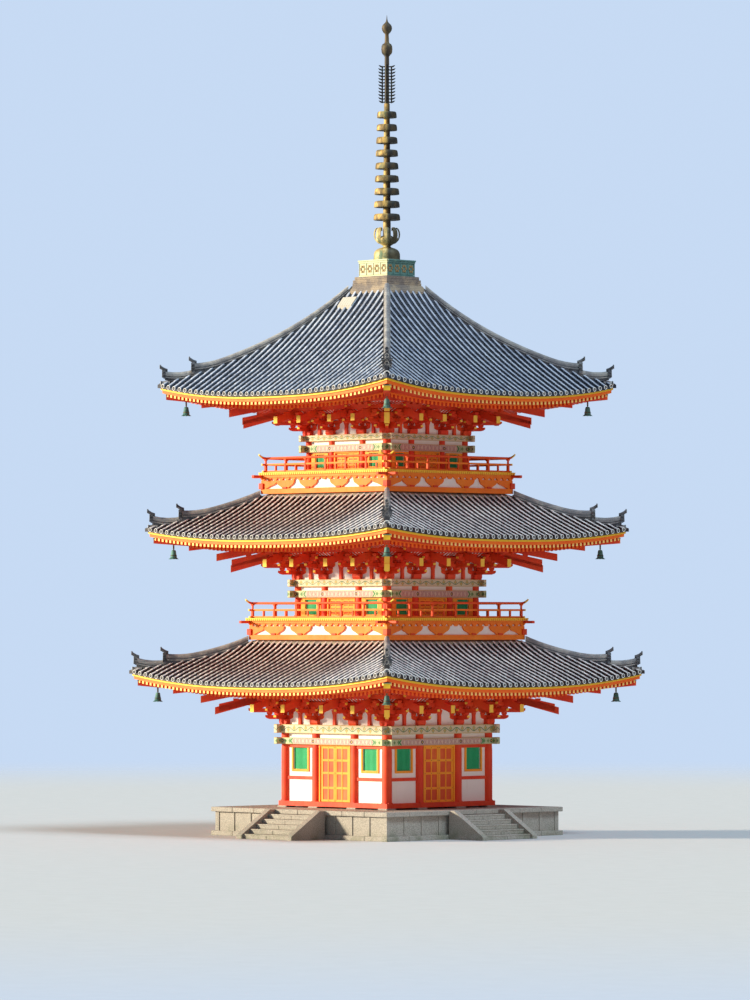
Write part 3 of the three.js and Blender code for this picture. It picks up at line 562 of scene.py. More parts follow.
def frame_shape(storey):
    c, b, r = storey["column"], storey["inner"], storey["radius"]
    face = c + r + BEAM_OUT
    foot, sill = storey["foot"], storey["sill"]
    lower, upper = storey["lower"], storey["upper"]
    neck = r - min(0.04, r * 0.3) * 0.4
    side = Shape()
    for x in (-c, -b, b):
        side.loft([circle(x, -c, sill - 0.02, r), circle(x, -c, lower[0] - 0.25, r),
                   circle(x, -c, lower[0] + 0.01, neck)])
        side.loft([circle(x, -c, lower[1] - 0.01, r), circle(x, -c, upper[0] + 0.01, r)])
    for x in (-c, -b, b, c):
        side.block(x - 0.11, x + 0.11, c + r + 0.01, c, sill - 0.005, sill + 0.03, TIMBER_EDGE)
    for (z0, z1), finish in ((lower, 1), (upper, 2)):
        side.pair(face - 0.02, face + BEAM_END, face, c + ROW_BACK, z0, z1, 0.012, finish)
    whole = all_round(side, clear=0.002)
    whole.square_ring(c - 0.06, face, *lower, 1)
    whole.square_ring(c - 0.06, c + ROW_BACK, lower[1] - 0.001, upper[0] + 0.001, 3)
    whole.square_ring(c - 0.06, face + 0.012, *upper, 2)
    whole.square_ring(c - 0.1, face - 0.005, foot + 0.001, sill)
    return whole


vermilion = timber_finish("vermilion_paint", 0xE43A0E, 0xEE541A, 0x921C0A)
plaster = two_tone("lime_plaster", (1.4, 4), 0xF4EEE2, 0xFCF9F2, 0.9, (9, 4, (1.0, 1.0, 0.6)), 0.003,
                   worn=((5, 3, (1.0, 1.0, 0.1)), 0.4, 0xCEC0AA))
for storey in STOREYS:
    piece(f"timber_frame_{storey['number']}", frame_shape(storey),
          [vermilion, lower_beam_finish(storey), upper_beam_finish(storey), plaster],
          [f"frame_{storey['number']}"], smooth=32)


# The walls: lime plaster between the columns, with an orange casing round each window and door. On
# the ground storey a rail runs from column to column over and under the windows.
WALL_OUT = 0.04
WALL_IN = 0.06
DOOR_HALF = 0.765
DOOR_HEAD = 3.38
CASING_OUT = 0.045
CASINGS = {1: (0.085, 0.085), 2: (0.225, 0.055), 3: (0.21, 0.055)}
DOOR_CASING = 0.07


def wall_openings(storey):
    """The two windows on the front side, then the door, each as (x0, x1, z0, z1)."""
    width, low, high = storey["window"]
    middle = (storey["inner"] + storey["column"]) / 2
    door = (-DOOR_HALF, DOOR_HALF, storey["sill"], DOOR_HEAD)
    if storey["number"] > 1:
        half = storey["inner"] - storey["radius"] - 0.07
        door = (-half, half, storey["sill"] + 0.01, storey["lower"][0] - 0.05)
    return [(x - width / 2, x + width / 2, low, high) for x in (-middle, middle)], door


def wall_shape(storey):
    c, r = storey["column"], storey["radius"]
    low, high = storey["sill"] + 0.0005, storey["lower"][0] - 0.0005
    back, face = c - WALL_IN, c + WALL_OUT
    windows, door = wall_openings(storey)
    side = Shape()
    edge = -back
    for x0, x1, z0, z1 in sorted(windows + [door]):
        side.block(edge, x0, face, back, low, high)
        for z_low, z_high in ((low, z0), (z1, high)):
            if z_high - z_low > 0.002:
                side.block(x0, x1, face, back, z_low, z_high)
        edge = x1
    side.block(edge, face, face, back, low, high)
    wide, tall = CASINGS[storey["number"]]
    out, seat = face + CASING_OUT, face - 0.002
    for x0, x1, z0, z1 in windows:
        side.block(x0 - wide, x0, out, seat, z0 - tall, z1 + tall, TIMBER_EDGE, 1)
        side.block(x1, x1 + wide, out, seat, z0 - tall, z1 + tall, TIMBER_EDGE, 1)
        side.block(x0, x1, out - 0.004, seat, z1, z1 + tall, TIMBER_EDGE, 1)
        side.block(x0, x1, out - 0.004, seat, z0 - tall, z0, TIMBER_EDGE, 1)
    x0, x1, _, z1 = door
    side.pair(x1, x1 + DOOR_CASING, out + 0.01, seat, low, z1 + DOOR_CASING * 0.7, TIMBER_EDGE, 1)
    side.block(x0, x1, out + 0.006, back + 0.01, z1, min(z1 + 0.05, high), finish=1)
    if storey["number"] == 1:
        for z in (storey["window"][1] - 0.32, storey["window"][2] + 0.045):
            side.pair(x1 + DOOR_CASING, c - r * 0.6, face + 0.05, face - 0.01, z - 0.06, z + 0.06, 0.008, 2)
    return all_round(side)


orange_casing = timber_finish("casing_paint", 0xFF9E1C, 0xFFB22C, 0xDE680E)
for storey in STOREYS:
    piece(f"plaster_walls_{storey['number']}", wall_shape(storey), [plaster, orange_casing, vermilion],
          [f"walls_{storey['number']}"])


# The windows: upright green bars of square section let into the casing, in front of a dark board.
BAR = 0.034
BAR_PITCH = 0.062


def window_shape(storey):
    c = storey["column"]
    windows, _ = wall_openings(storey)
    side = Shape()
    for x0, x1, z0, z1 in windows:
        count = int((x1 - x0) / BAR_PITCH)
        for n in range(count):
            x = x0 + (n + 0.5) * ((x1 - x0) / count)
            side.block(x - BAR / 2, x + BAR / 2, c + 0.012, c - 0.022, z0, z1, 0.004)
        side.block(x0, x1, c - 0.03, c - WALL_IN - 0.02, z0, z1, finish=1)
    return all_round(side)


green_bars = two_tone("green_bars", (2.2, 4), 0x1EB870, 0x42D692, 0.6, (12, 4, (1.0, 1.0, 0.2)),
                      worn=((12, 4, (1.0, 1.0, 0.2)), 0.4, 0x105C42))
window_backing = two_tone("shadowed_board", (3, 4), 0x0C5C3E, 0x167450, 0.8, (8, 3))


# The doors: pairs of framed leaves, each with two columns of panels in four heights, painted
# orange with redder panels and bronze studs. The front pair on the ground turns on pins.
LEAF_THICK = 0.06
STILE = 0.085
DOOR_OUT = 0.03
DOOR_GAP = 0.005
MEETING_GAP = 0.004
PIN_X = 0.73
RAIL_SHARES = (0.0, 0.24, 0.52, 0.76, 1.0)
STUD = ((0, 0.016), (0.007, 0.013), (0.011, 0.006))


def leaf_shape(x0, x1, z0, z1, middle, thick=LEAF_THICK, hinge=None):
    """A framed leaf, its thickness centred that far out, with no studs on the stile at its hinge."""
    shape = Shape()
    near, far = middle - thick / 2, middle + thick / 2
    centre = (x0 + x1) / 2
    stile = min(STILE, (x1 - x0) * 0.14)
    for x, wide in ((x0, stile), (x1 - stile, stile), (centre - stile * 0.35, stile * 0.7)):
        shape.block(x, x + wide, far, near, z0, z1, TIMBER_EDGE)
    for share in RAIL_SHARES:
        z = z0 + share * (z1 - z0 - stile)
        shape.block(x0 + stile / 2, x1 - stile / 2, far - 0.003, near + 0.003, z, z + stile, TIMBER_EDGE)
        for edge, x in ((x0, x0 + stile / 2), (x1, x1 - stile / 2), (None, centre)):
            if hinge is None or edge != hinge:
                shape.loft([disc(x, far - 0.002 + out, z + stile / 2, radius, 8) for out, radius in STUD], 2)
    shape.block(x0 + 0.01, x1 - 0.01, far - 0.02, near + 0.02, z0 + 0.01, z1 - 0.01, finish=1)
    return shape


bronze_stud = two_tone("bronze_studs", (20, 3), 0x4A3C24, 0x80683A, 0.45, (40, 2), 0.001, 0.7)
door_panel = timber_finish("door_panel_paint", 0xDE5018, 0xEE7028, 0x962C0E)
door_finishes = [orange_casing, door_panel, bronze_stud]
door_line = STOREY_1["column"] + DOOR_OUT
leaf_low, leaf_high = STOREY_1["sill"] + DOOR_GAP, DOOR_HEAD - DOOR_GAP
for side_name, x0, x1 in (("left", -PIN_X, -MEETING_GAP), ("right", MEETING_GAP, PIN_X)):
    pin_x = math.copysign(PIN_X, x0 + x1)
    leaf = leaf_shape(x0, x1, leaf_low, leaf_high, door_line, hinge=pin_x)
    for radius, past, finish in ((0.03, 0.0, 0), (0.019, 0.04, 2)):
        leaf.loft([circle(pin_x, -door_line, z, radius) for z in (leaf_low - past, leaf_high + past)], finish)
    name = f"front_door_{side_name}"
    piece(f"front_leaf_{side_name}", leaf, door_finishes, [name], body=name)
for side_name in ("right", "back", "left"):
    doors = Shape()
    reach = DOOR_HALF - 0.001
    for x0, x1 in ((-reach, -MEETING_GAP), (MEETING_GAP, reach)):
        doors.include(leaf_shape(x0, x1, STOREY_1["sill"] + 0.001, DOOR_HEAD - 0.001, door_line),
                      SIDES[side_name])
    piece(f"closed_doors_{side_name}", doors, door_finishes, [f"door_{side_name}"])
for storey in STOREYS:
    windows = window_shape(storey)
    number = storey["number"]
    _, (x0, x1, z0, z1) = wall_openings(storey)
    for degrees in QUARTERS if number > 1 else ():
        for left, right in ((x0, -0.003), (0.003, x1)):
            leaf = leaf_shape(left, right, z0, z1, storey["column"] + 0.005, 0.05)
            leaf.finishes = [finish + 2 for finish in leaf.finishes]
            windows.include(leaf, degrees)
    piece(f"barred_windows_{number}", windows, [green_bars, window_backing, *door_finishes],
          [f"windows_{number}"])


# The bracket sets: under each roof a set stands on every column, stepping out three times with
# arms and bearing blocks, and a slanting tail in it; long tails run out on the diagonals. Struts
# stand between the sets on white plaster. All end faces are painted yellow.
ROOFS = (
    {"eave": 6.798, "z": 5.573, "rise": 0.49, "start": 2.90, "top": 3.4503, "head": 3.66,
     "hip": ((6.898, 6.15), (6.1, 6.35), (5.1, 6.59), (4.4, 6.85), (3.695, 7.22))},
    {"eave": 6.38, "z": 11.031, "rise": 0.39, "start": 2.60, "top": 3.1353, "head": 3.345,
     "hip": ((6.48, 11.51), (5.5, 11.80), (4.79, 12.03), (4.101, 12.325), (3.4, 12.70))},
    {"eave": 6.047, "z": 16.358, "rise": 0.50, "start": 2.168, "top": 0.70, "head": 0.95,
     "hip": ((6.147, 16.945), (4.691, 17.58), (3.5, 18.23), (2.168, 19.28), (1.281, 20.14), (0.934, 20.60))},
)
OVERHANG = 0.10
RISE_POWER = 1.4
CURVE_POWER = 2.5
STEP = 0.45
ARM_WIDE = 0.13
PURLIN = 0.20
TAIL_REACH = 1.8
DIAGONAL_TAILS = ((2.59, 0.82, 0.20), (3.13, 1.25, 0.28))
FLYING = 1.0
FLYING_SLOPE = 0.04
BASE_STEP = 0.17
BASE_SLOPE = 0.28
ARM_LEVELS = ((0.15, 0.27), (0.35, 0.47), (0.55, 0.67), (0.79, 0.91))
BLOCK_WIDE = 0.21
SLAT_PITCH = 0.17
END_SKIN = 0.006
YELLOW = 1
WHITE = 2
ROOT_2 = math.sqrt(2)


def lift(roof, s):
    """How far the corner rises above the middle of the side, that far out from the axis."""
    edge = roof["eave"] + OVERHANG
    return roof["rise"] * np.maximum(0, (s - roof["start"]) / (edge - roof["start"])) ** RISE_POWER


def raised(roof, x, s, z):
    """The height at x along the side of a level line that lies at z in the side's middle."""
    return z + lift(roof, s) * np.minimum(1, np.abs(x) / np.maximum(s, 1e-6)) ** CURVE_POWER


def rafter_lines(roof, storey):
    """Half-sides and mid-side heights of the rafters' undersides."""
    end, end_z = roof["eave"] - 0.09, roof["z"] - 0.258
    step, step_z = end - FLYING, end_z + FLYING * FLYING_SLOPE
    base_z = step_z - BASE_STEP
    inner = storey["column"] - WALL_IN
    return {"end": end, "end_z": end_z, "step": step, "step_z": step_z, "base_z": base_z,
            "inner": inner, "inner_z": base_z + (step - inner) * BASE_SLOPE}


def base_line(lines, s):
    """Mid-side height of the base rafters' underside."""
    return lines["base_z"] + (lines["step"] - s) * BASE_SLOPE


def bearing_block(shape, x, d, z0, z1, wide):
    """A bearing block: its lower part is cut in under a square top."""
    half, foot = wide / 2, wide * 0.34
    waist = z0 + (z1 - z0) * 0.45
    shape.loft([[(x + i * size, -d + j * size, z) for i, j in ((-1, -1), (1, -1), (1, 1), (-1, 1))]
                for size, z in ((foot, z0), (half, waist), (half, z1))])


def end_skin(shape, reach, low, high, wide, x=0.0, finish=YELLOW):
    """The paint on an end face that looks outwards."""
    past = reach + END_SKIN
    shape.plate([(reach, low), (past, low), (past, high), (reach, high)], wide, x, finish)


def cross_arm(shape, x, d, z0, z1, half):
    """An arm along the side with its lower ends rounded up and its end faces yellow."""
    low, middle = z0 + (z1 - z0) * 0.2, z0 + (z1 - z0) * 0.5
    right = [(half - 0.16, z0), (half - 0.06, low), (half, middle), (half, z1)]
    outline = [(-a, z) for a, z in reversed(right)] + right
    thick = ARM_WIDE / 2 - 0.005
    shape.panel([(x + a, z) for a, z in outline], d - thick, d + thick)
    for start in (x - half - END_SKIN, x + half):
        shape.block(start, start + END_SKIN, d + thick, d - thick, middle, z1, finish=YELLOW)


def out_arm(shape, x, start, reach, z0, z1):
    """An arm that reaches outwards, rounded up below its yellow end."""
    low, middle = z0 + (z1 - z0) * 0.2, z0 + (z1 - z0) * 0.5
    shape.plate([(start, z0), (reach - 0.16, z0), (reach - 0.06, low), (reach, middle), (reach, z1),
                 (start, z1)], ARM_WIDE, x)
    end_skin(shape, reach, middle, z1, ARM_WIDE, x)


def tail(shape, x, start, reach, low_start, low_reach, high, wide):
    """A slanting tail with a squared, yellow end."""
    shape.plate([(start, low_start), (reach, low_reach), (reach, low_reach + high),
                 (start, low_start + high)], wide, x)
    end_skin(shape, reach, low_reach, low_reach + high, wide, x)


def bracket_set(c, foot, high, x, stretch=1.0):
    """One set over a column at x. Stretch lengthens its steps, for the diagonals."""
    shape = Shape()
    level = [(foot + low * high, foot + top * high) for low, top in ARM_LEVELS]
    step, centre = STEP * stretch, c * stretch

    def blocks_on(d, z, places=(0.0,)):
        for place in places:
            bearing_block(shape, x + place, d, z, z + 0.08 * high, BLOCK_WIDE)

    waist, shelf = foot + 0.06 * high, level[0][0]
    shape.plate([(centre - 0.16, foot), (centre + 0.16, foot), (centre + 0.2, waist), (centre + 0.2, shelf),
                 (centre - 0.2, shelf), (centre - 0.2, waist)], 0.4, x)
    for number, steps, past in ((0, 1, 0.16), (1, 2, 0.16), (2, 2, 0.3)):
        out_arm(shape, x, centre - 0.1, centre + steps * step + past, *level[number])
    for number in (0, 1):
        blocks_on(centre + (number + 1) * step, level[number][1])
    tail(shape, x, centre, centre + TAIL_REACH * stretch, foot + 0.83 * high, foot + 0.37 * high, 0.23 * high,
         ARM_WIDE + 0.07)
    blocks_on(centre + 3 * step, foot + 0.68 * high)
    if stretch == 1.0:
        for number, (low, top) in enumerate(level):
            cross_arm(shape, x, c + number * STEP, low, top, 0.42)
            blocks_on(c + number * STEP, top, (-0.32, 0.0, 0.32))
        cross_arm(shape, x, c, *level[1], 0.56)
        blocks_on(c, level[1][1], (-0.46, 0.0, 0.46))
    return shape


def strut(shape, x, c, foot, high):
    """A strut between two sets: a post that flares out into a bearing block."""
    top, neck = foot + 0.44 * high, foot + 0.28 * high
    shape.panel([(x - 0.065, foot), (x + 0.065, foot), (x + 0.06, neck), (x + 0.13, top), (x - 0.13, top),
                 (x - 0.06, neck)], c + WALL_OUT, c + 0.13)
    bearing_block(shape, x, c + 0.03, top, top + 0.1 * high, 0.22)


def bracket_shape(roof, storey):
    c, b = storey["column"], storey["inner"]
    foot = storey["upper"][1]
    out = c + 3 * STEP
    under = base_line(rafter_lines(roof, storey), out) - PURLIN
    high = under - foot
    side = Shape()
    for x in (-c, -b, b, c):
        side.include(bracket_set(c, foot, high, x))
    for x in (-(b + c) / 2, 0.0, (b + c) / 2):
        strut(side, x, c, foot, high)
    for d, number in ((c, 2), (c, 3), (c + STEP, 2), (c + 2 * STEP, 3)):
        z0, z1 = (foot + share * high for share in ARM_LEVELS[number])
        side.post(0.0, d, d + 0.25, ARM_WIDE * 0.45, z0, z1, TIMBER_EDGE)
    ceiling = [(c + 0.05, foot + 0.66 * high), (c + STEP, foot + 0.7 * high),
               (c + 2 * STEP, foot + 0.9 * high), (out - 0.05, foot + high)]
    slats = int(2 * out / SLAT_PITCH)
    for n in range(slats + 1):
        x = -out + n * 2 * out / slats
        start = max(c + 0.05, abs(x))
        if start < out - 0.15:
            line = [(start, np.interp(start, *zip(*ceiling)))] + [p for p in ceiling if p[0] > start + 0.02]
            side.plate([(d, z - 0.035) for d, z in line] + [(d, z - 0.005) for d, z in reversed(line)],
                       0.05, x)
    whole = all_round(side, clear=0.003)
    corner = bracket_set(c, foot, high, 0.0, ROOT_2)
    start = (c + 0.3) * ROOT_2
    for back, drop, slope in DIAGONAL_TAILS:
        reach = roof["eave"] * ROOT_2 - back
        low = roof["z"] + roof["rise"] - drop - 0.27
        tail(corner, 0.0, start, reach, low + (reach - start) * slope, low, 0.27, 0.20)
    whole.all_sides(corner, DIAGONALS)
    whole.square_ring(c - WALL_IN, c + WALL_OUT, foot, under + 0.1, WHITE)
    whole.square_ring(out - 0.09, out + 0.09, under, under + PURLIN)
    whole.ring(ceiling + [(d, z + 0.02) for d, z in reversed(ceiling)], WHITE)
    return whole


yellow_ends = two_tone("yellow_end_paint", (3, 4), 0xFFC832, 0xFFDE5A, 0.65, (3, 4),
                       worn=((9, 3), 0.3, 0xCE8C28))
for roof, storey in zip(ROOFS, STOREYS):
    piece(f"bracket_sets_{storey['number']}", bracket_shape(roof, storey), [vermilion, yellow_ends, plaster],
          [f"brackets_{storey['number']}", f"eave_purlin_{storey['number']}"])


# The eaves: base rafters from the wall to a step, flying rafters from there to the edge, boards
# over both, an orange eave board with a yellow strip on it, and a hip rafter on each diagonal.
RAFTER_PITCH = 0.21
RAFTER_WIDE = 0.1
RAFTER_HIGH = 0.12
HIP_WIDE = 0.25
HIP_DEPTH = 0.16
HIP_END = 0.185
BELL_FROM_END = 0.75
BELL_DROP = 0.14
BELL_CHEEK = 0.041
CURVE_STEPS = 24


def swept_ring(roof, points):
    """Stations round the square of a section of (half-side, mid-side height), raised to the corners."""
    s, z = np.array(points, float).T
    rings = []
    for degrees in QUARTERS:
        for n in range(CURVE_STEPS):
            x = (-1 + 2 * n / CURVE_STEPS) * s
            rings.append(np.column_stack((*about_axis(x, -s, degrees), raised(roof, x, s, z))))
    return rings


def rafter(shape, roof, x, s0, z0, s1, z1, high, end_paint):
    """One rafter at x, from (s0, z0) out to (s1, z1), with a painted end."""
    start = max(s0, abs(x) + 0.05)
    if start > s1 - 0.05:
        return

    def ring(s, z):
        left, right = x - RAFTER_WIDE / 2, x + RAFTER_WIDE / 2
        z_left, z_right = raised(roof, left, s, z), raised(roof, right, s, z)
        return [(left, -s, z_left), (right, -s, z_right),
                (right, -s, z_right + high), (left, -s, z_left + high)]

    shape.loft([ring(start, z0 + (z1 - z0) * (start - s0) / (s1 - s0)), ring(s1 - END_SKIN, z1)])
    shape.loft([ring(s1 - END_SKIN, z1), ring(s1, z1)], end_paint)


def hip_lines(roof, storey):
    """The underside of a hip rafter in (distance along the diagonal, height)."""
    lines = rafter_lines(roof, storey)
    start = storey["column"] + 3 * STEP + 0.16

    def corner(s, z, drop):
        return s * ROOT_2, z + float(lift(roof, s)) - drop

    _, end_z = corner(lines["end"], lines["end_z"], HIP_DEPTH)
    step = lines["step"]
    return [corner(start, base_line(lines, start), HIP_DEPTH), corner(step, lines["base_z"], HIP_DEPTH),
            corner(step, lines["step_z"], HIP_DEPTH - 0.01), (roof["eave"] * ROOT_2 - 0.215, end_z + 0.02)]


def bell_pin(low):
    """How far out along the diagonal a bell's pin lies under its hip rafter, and how high."""
    (near, z_near), (end, z_end) = low[2:]
    reach = end - BELL_FROM_END
    return reach, z_near + (z_end - z_near) * ((reach - near) / (end - near)) - BELL_DROP


def eaves_shape(roof, storey):
    lines = rafter_lines(roof, storey)
    e, z = roof["eave"], roof["z"]
    inner, inner_z = lines["inner"], lines["inner_z"]
    step, step_z, base_z = lines["step"], lines["step_z"], lines["base_z"]
    side = Shape()
    count = int(2 * lines["end"] / RAFTER_PITCH)
    for n in range(count):
        x = (n + 0.5 - count / 2) * RAFTER_PITCH
        rafter(side, roof, x, step - 0.3, step_z + 0.3 * FLYING_SLOPE, lines["end"], lines["end_z"],
               RAFTER_HIGH, 3)
        rafter(side, roof, x, inner, inner_z, step + 0.03, base_z - 0.008, 0.13, 1)
    whole = all_round(side)
    top = lines["end_z"] + RAFTER_HIGH
    for finish, section in (
            (1, [(e - 0.17, top + 0.005), (e - 0.045, top - 0.012), (e - 0.045, z - 0.052),
                 (e - 0.17, z - 0.052)]),
            (0, [(e - 0.17, z - 0.053), (e - 0.035, z - 0.053), (e - 0.035, z - 0.036),
                 (e - 0.17, z - 0.036)]),
            (2, [(e - 0.2, z - 0.037), (e, z - 0.037), (e, z + 0.038), (e - 0.2, z + 0.038)]),
            (0, [(step - 0.4, step_z + 0.126), (e - 0.1, top - 0.012), (e - 0.1, top + 0.06),
                 (step - 0.4, step_z + 0.2)]),
            (1, [(step - 0.07, step_z - 0.045), (step + 0.04, step_z - 0.05), (step + 0.04, step_z + 0.03),
                 (step - 0.07, step_z + 0.035)]),
            (0, [(inner, inner_z + 0.12), (step, base_z + 0.12), (step, base_z + 0.15),
                 (inner, inner_z + 0.15)]),
            (0, [(inner, inner_z + 0.151), (step, step_z + 0.1), (e - 0.24, top + 0.08), (e - 0.24, z + 0.03),
                 (step, step_z + 0.17), (inner, inner_z + 0.2)])):
        whole.loft(swept_ring(roof, section), finish, closed=True)
    hip = Shape()
    low = hip_lines(roof, storey)
    end, end_z = low[-1]
    cap = end_z + HIP_END
    hip.plate(low + [(end, cap), (low[2][0], low[2][1] + 0.22), (low[0][0], low[0][1] + 0.22)], HIP_WIDE)
    end_skin(hip, end, end_z, cap, HIP_WIDE, finish=2)
    hip.plate([(end - 0.3, cap + 0.03), (end + 0.02, cap - 0.01), (end + 0.02, cap + 0.015),
               (end - 0.3, cap + 0.055)], HIP_WIDE + 0.05, finish=4)
    reach, pin_z = bell_pin(low)
    for x in (-BELL_CHEEK, BELL_CHEEK):
        hip.post(x, reach, 0.007, 0.028, pin_z - 0.03, pin_z + BELL_DROP + 0.02, 0.003, 5)
    hip.loft([across(x, reach, pin_z, 0.008, 10) for x in (-BELL_CHEEK, BELL_CHEEK)], 5)
    whole.all_sides(hip, DIAGONALS)
    return whole


def copper_finish(name, deep, pale, runs_tone):
    """Copper weathered green, with brown left in the hollows and pale runs."""
    finish = Finish(name)
    patches = finish.noise(3.2, 5)
    runs = finish.noise(9, 4, (1.0, 1.0, 0.15))
    tone = finish.mixed(patches.share(0.3, 0.7), deep, pale)
    tone = finish.mixed(runs.share(0.55, 0.8) * 0.45, tone, runs_tone)
    tone = finish.mixed(finish.noise(6, 5).share(0.58, 0.75) * 0.7, tone, 0x5C5434)
    return finish.done(tone, 0.65, patches + runs * 0.4, 0.004, metallic=0.1)


board_orange = timber_finish("eave_board_paint", 0xFF6C04, 0xFF7E0C, 0xD84604)
yellow_strip = two_tone("yellow_strip", (1.5, 4), 0xFFC414, 0xFFD63C, 0.6, (6, 3))
rafter_ends = two_tone("rafter_end_paint", (2.5, 4), 0xFCCC5C, 0xFFDE8C, 0.7, (9, 3))
green_copper = copper_finish("green_copper", 0x548474, 0x80AC96, 0xB0C8AC)
for roof, storey in zip(ROOFS, STOREYS):
    piece(f"rafters_{storey['number']}", eaves_shape(roof, storey),
          [vermilion, board_orange, yellow_strip, rafter_ends, green_copper, bronze_stud],
          [f"eaves_{storey['number']}"])


# The roof tiles: fired clay pans laid in overlapping courses, with rows of round cover tiles over
# their joints. Each row ends at the eave in a round tile with a limed rim; lips close the pans.
ROW_PITCH = 0.307
TILE_COURSE = 0.28
LIP = 0.022
COVER_RADIUS = 0.072
DISC_RADIUS = 0.084
DISC_PROFILE = ((1.0, -0.05), (1.0, -0.008), (0.94, 0.0), (0.74, 0.0), (0.68, -0.014), (0.34, -0.014),
                (0.26, -0.002))


def hip_height(roof, s):
    """Height of the tiles on the diagonal: one smooth line through the measured points."""
    points = np.array(roof["hip"])
    return np.polyval(np.polyfit(points[:, 0], points[:, 1], 3), s)


def middle_height(roof, s):
    """Height of the tiles in the middle of a side."""
    return float(hip_height(roof, s) - lift(roof, s))


def tile_height(roof, x, s):
    """Height of the tiles at x along a side and s out from the axis."""
    return float(raised(roof, x, s, middle_height(roof, s)))


def courses(roof, start):
    """The half-sides of a row's course lines, from the eave up to where the row ends."""
    edge = roof["eave"] + OVERHANG - 0.012
    count = max(1, int(round((edge - start) / TILE_COURSE)))
    return [edge - (edge - start) * n / count for n in range(count + 1)]


def end_disc(shape, x, s, z, radius, rim=2):
    """A round tile end facing outwards: a rim round a dark field with a boss."""
    rings = [disc(x, s + out, z, radius * share, 14) for share, out in DISC_PROFILE]
    for first, last, finish in ((0, 2, 3), (1, 5, rim), (4, 7, 3)):
        shape.loft(rings[first:last], finish)


def pan_row(shape, roof, x, half):
    """A row of pans between two cover rows, stepping down a lip at each course."""
    start = max(roof["head"], abs(x) + 0.01)
    if start > roof["eave"]:
        return

    def ring(s, rise):
        base = tile_height(roof, x, s)
        top = ((-half, 0.05), (-half * 0.5, 0.012), (0.0, 0.0), (half * 0.5, 0.012), (half, 0.05))
        return ([(x + a, -s, base + b + rise) for a, b in top]
                + [(x + a, -s, base - 0.05) for a in (half, -half)])

    stops = courses(roof, start)
    shape.loft([ring(s, rise) for lower, upper in zip(stops, stops[1:])
                for s, rise in ((lower, LIP), (upper, 0.0))])


def cover_row(shape, roof, x):
    """A row of round cover tiles, each a little wider at its lower end, and its end disc.

    The rows are pale along the top, in part as painted light, and dark down their flanks as painted shade.
    """
    start = max(roof["head"], abs(x) - 0.04)
    if start > roof["eave"]:
        return
    stops = courses(roof, start)

    def ring(s, radius, degrees):
        base = tile_height(roof, x, s) + 0.035
        return [(x + radius * math.cos(math.radians(a)), -s, base + radius * 1.1 * math.sin(math.radians(a)))
                for a in degrees]

    # Finish 4 paints the flanks dark as shade; finish 1 paints the tops pale, in part as light.
    for finish, radius, degrees in ((4, COVER_RADIUS - 0.004, (-30, 10, 50, 130, 170, 210)),
                                    (1, COVER_RADIUS, (42, 62, 90, 118, 138))):
        shape.loft([ring(s, radius + wider, degrees) for lower, upper in zip(stops, stops[1:])
                    for s, wider in ((lower, 0.006), (upper, -0.006))], finish)
    end_disc(shape, x, roof["eave"] + OVERHANG, tile_height(roof, x, stops[0]) + 0.045, DISC_RADIUS)


def pan_lip(shape, roof, x, half):
    """The hanging lip that closes a row of pans at the eave."""
    edge = roof["eave"] + OVERHANG
    z = tile_height(roof, x, edge)
    depth = min(0.11, z - float(raised(roof, x, edge, roof["z"] + 0.05)))
    outline = ((-1, 0.055), (-0.5, 0.02), (0, 0.008), (0.5, 0.02), (1, 0.055),
               (0.8, -depth * 0.6), (0, -depth), (-0.8, -depth * 0.6))
    shape.panel([(x + half * a, z + b) for a, b in outline], edge - 0.06, edge - 0.02)


def tile_shapes(roof):
    """The pans of a roof with the clay under them, and its rows of cover tiles."""
    edge = roof["eave"] + OVERHANG
    rows = int(round(2 * edge / ROW_PITCH))
    pitch = 2 * edge / rows
    lines = [-edge + (n + 0.5) * pitch for n in range(rows)]
    pan_side, cover_side, pans, covers = (Shape() for _ in range(4))
    for x in lines:
        pan_row(pan_side, roof, x, pitch / 2 - 0.02)
    for n in range(1, rows):
        cover_row(cover_side, roof, -edge + n * pitch)
    for x in lines:
        pan_lip(pan_side, roof, x, pitch / 2 - 0.03)
    pans.all_sides(pan_side)
    covers.all_sides(cover_side)
    top = [(s, middle_height(roof, s) - 0.02) for s in np.linspace(edge - 0.03, roof["top"], 12)]
    inner = [(s, z - 0.17) for s, z in reversed(top) if s < roof["eave"] - 0.35]
    seat = roof["z"] + 0.04
    under = [(s, seat) for s in (roof["eave"] - 0.2, roof["eave"], edge - 0.03)]
    pans.loft(swept_ring(roof, top + inner + under), closed=True)
    return pans, covers


def tile_finish(name, light, dark, lichen, amount=0.4):
    """Fired clay: each tile a little lighter or darker, with grime and lichen in patches."""
    finish = Finish(name)
    cell = finish.node("TexVoronoi", {"feature": "F1"}, {"Vector": finish.place(), "Scale": 3.6}, "Color")
    speckle = finish.noise(14, 5)
    tone = finish.mixed(finish.part_of(cell, "X"), dark, light)
    tone = finish.mixed(finish.noise(0.7, 5).share(0.45, 0.7) * amount, tone, lichen)
    tone = finish.mixed(speckle.share(0.55, 0.8) * 0.35, tone, dark)
    return finish.done(tone, 0.5 + speckle * 0.25, speckle, 0.004)


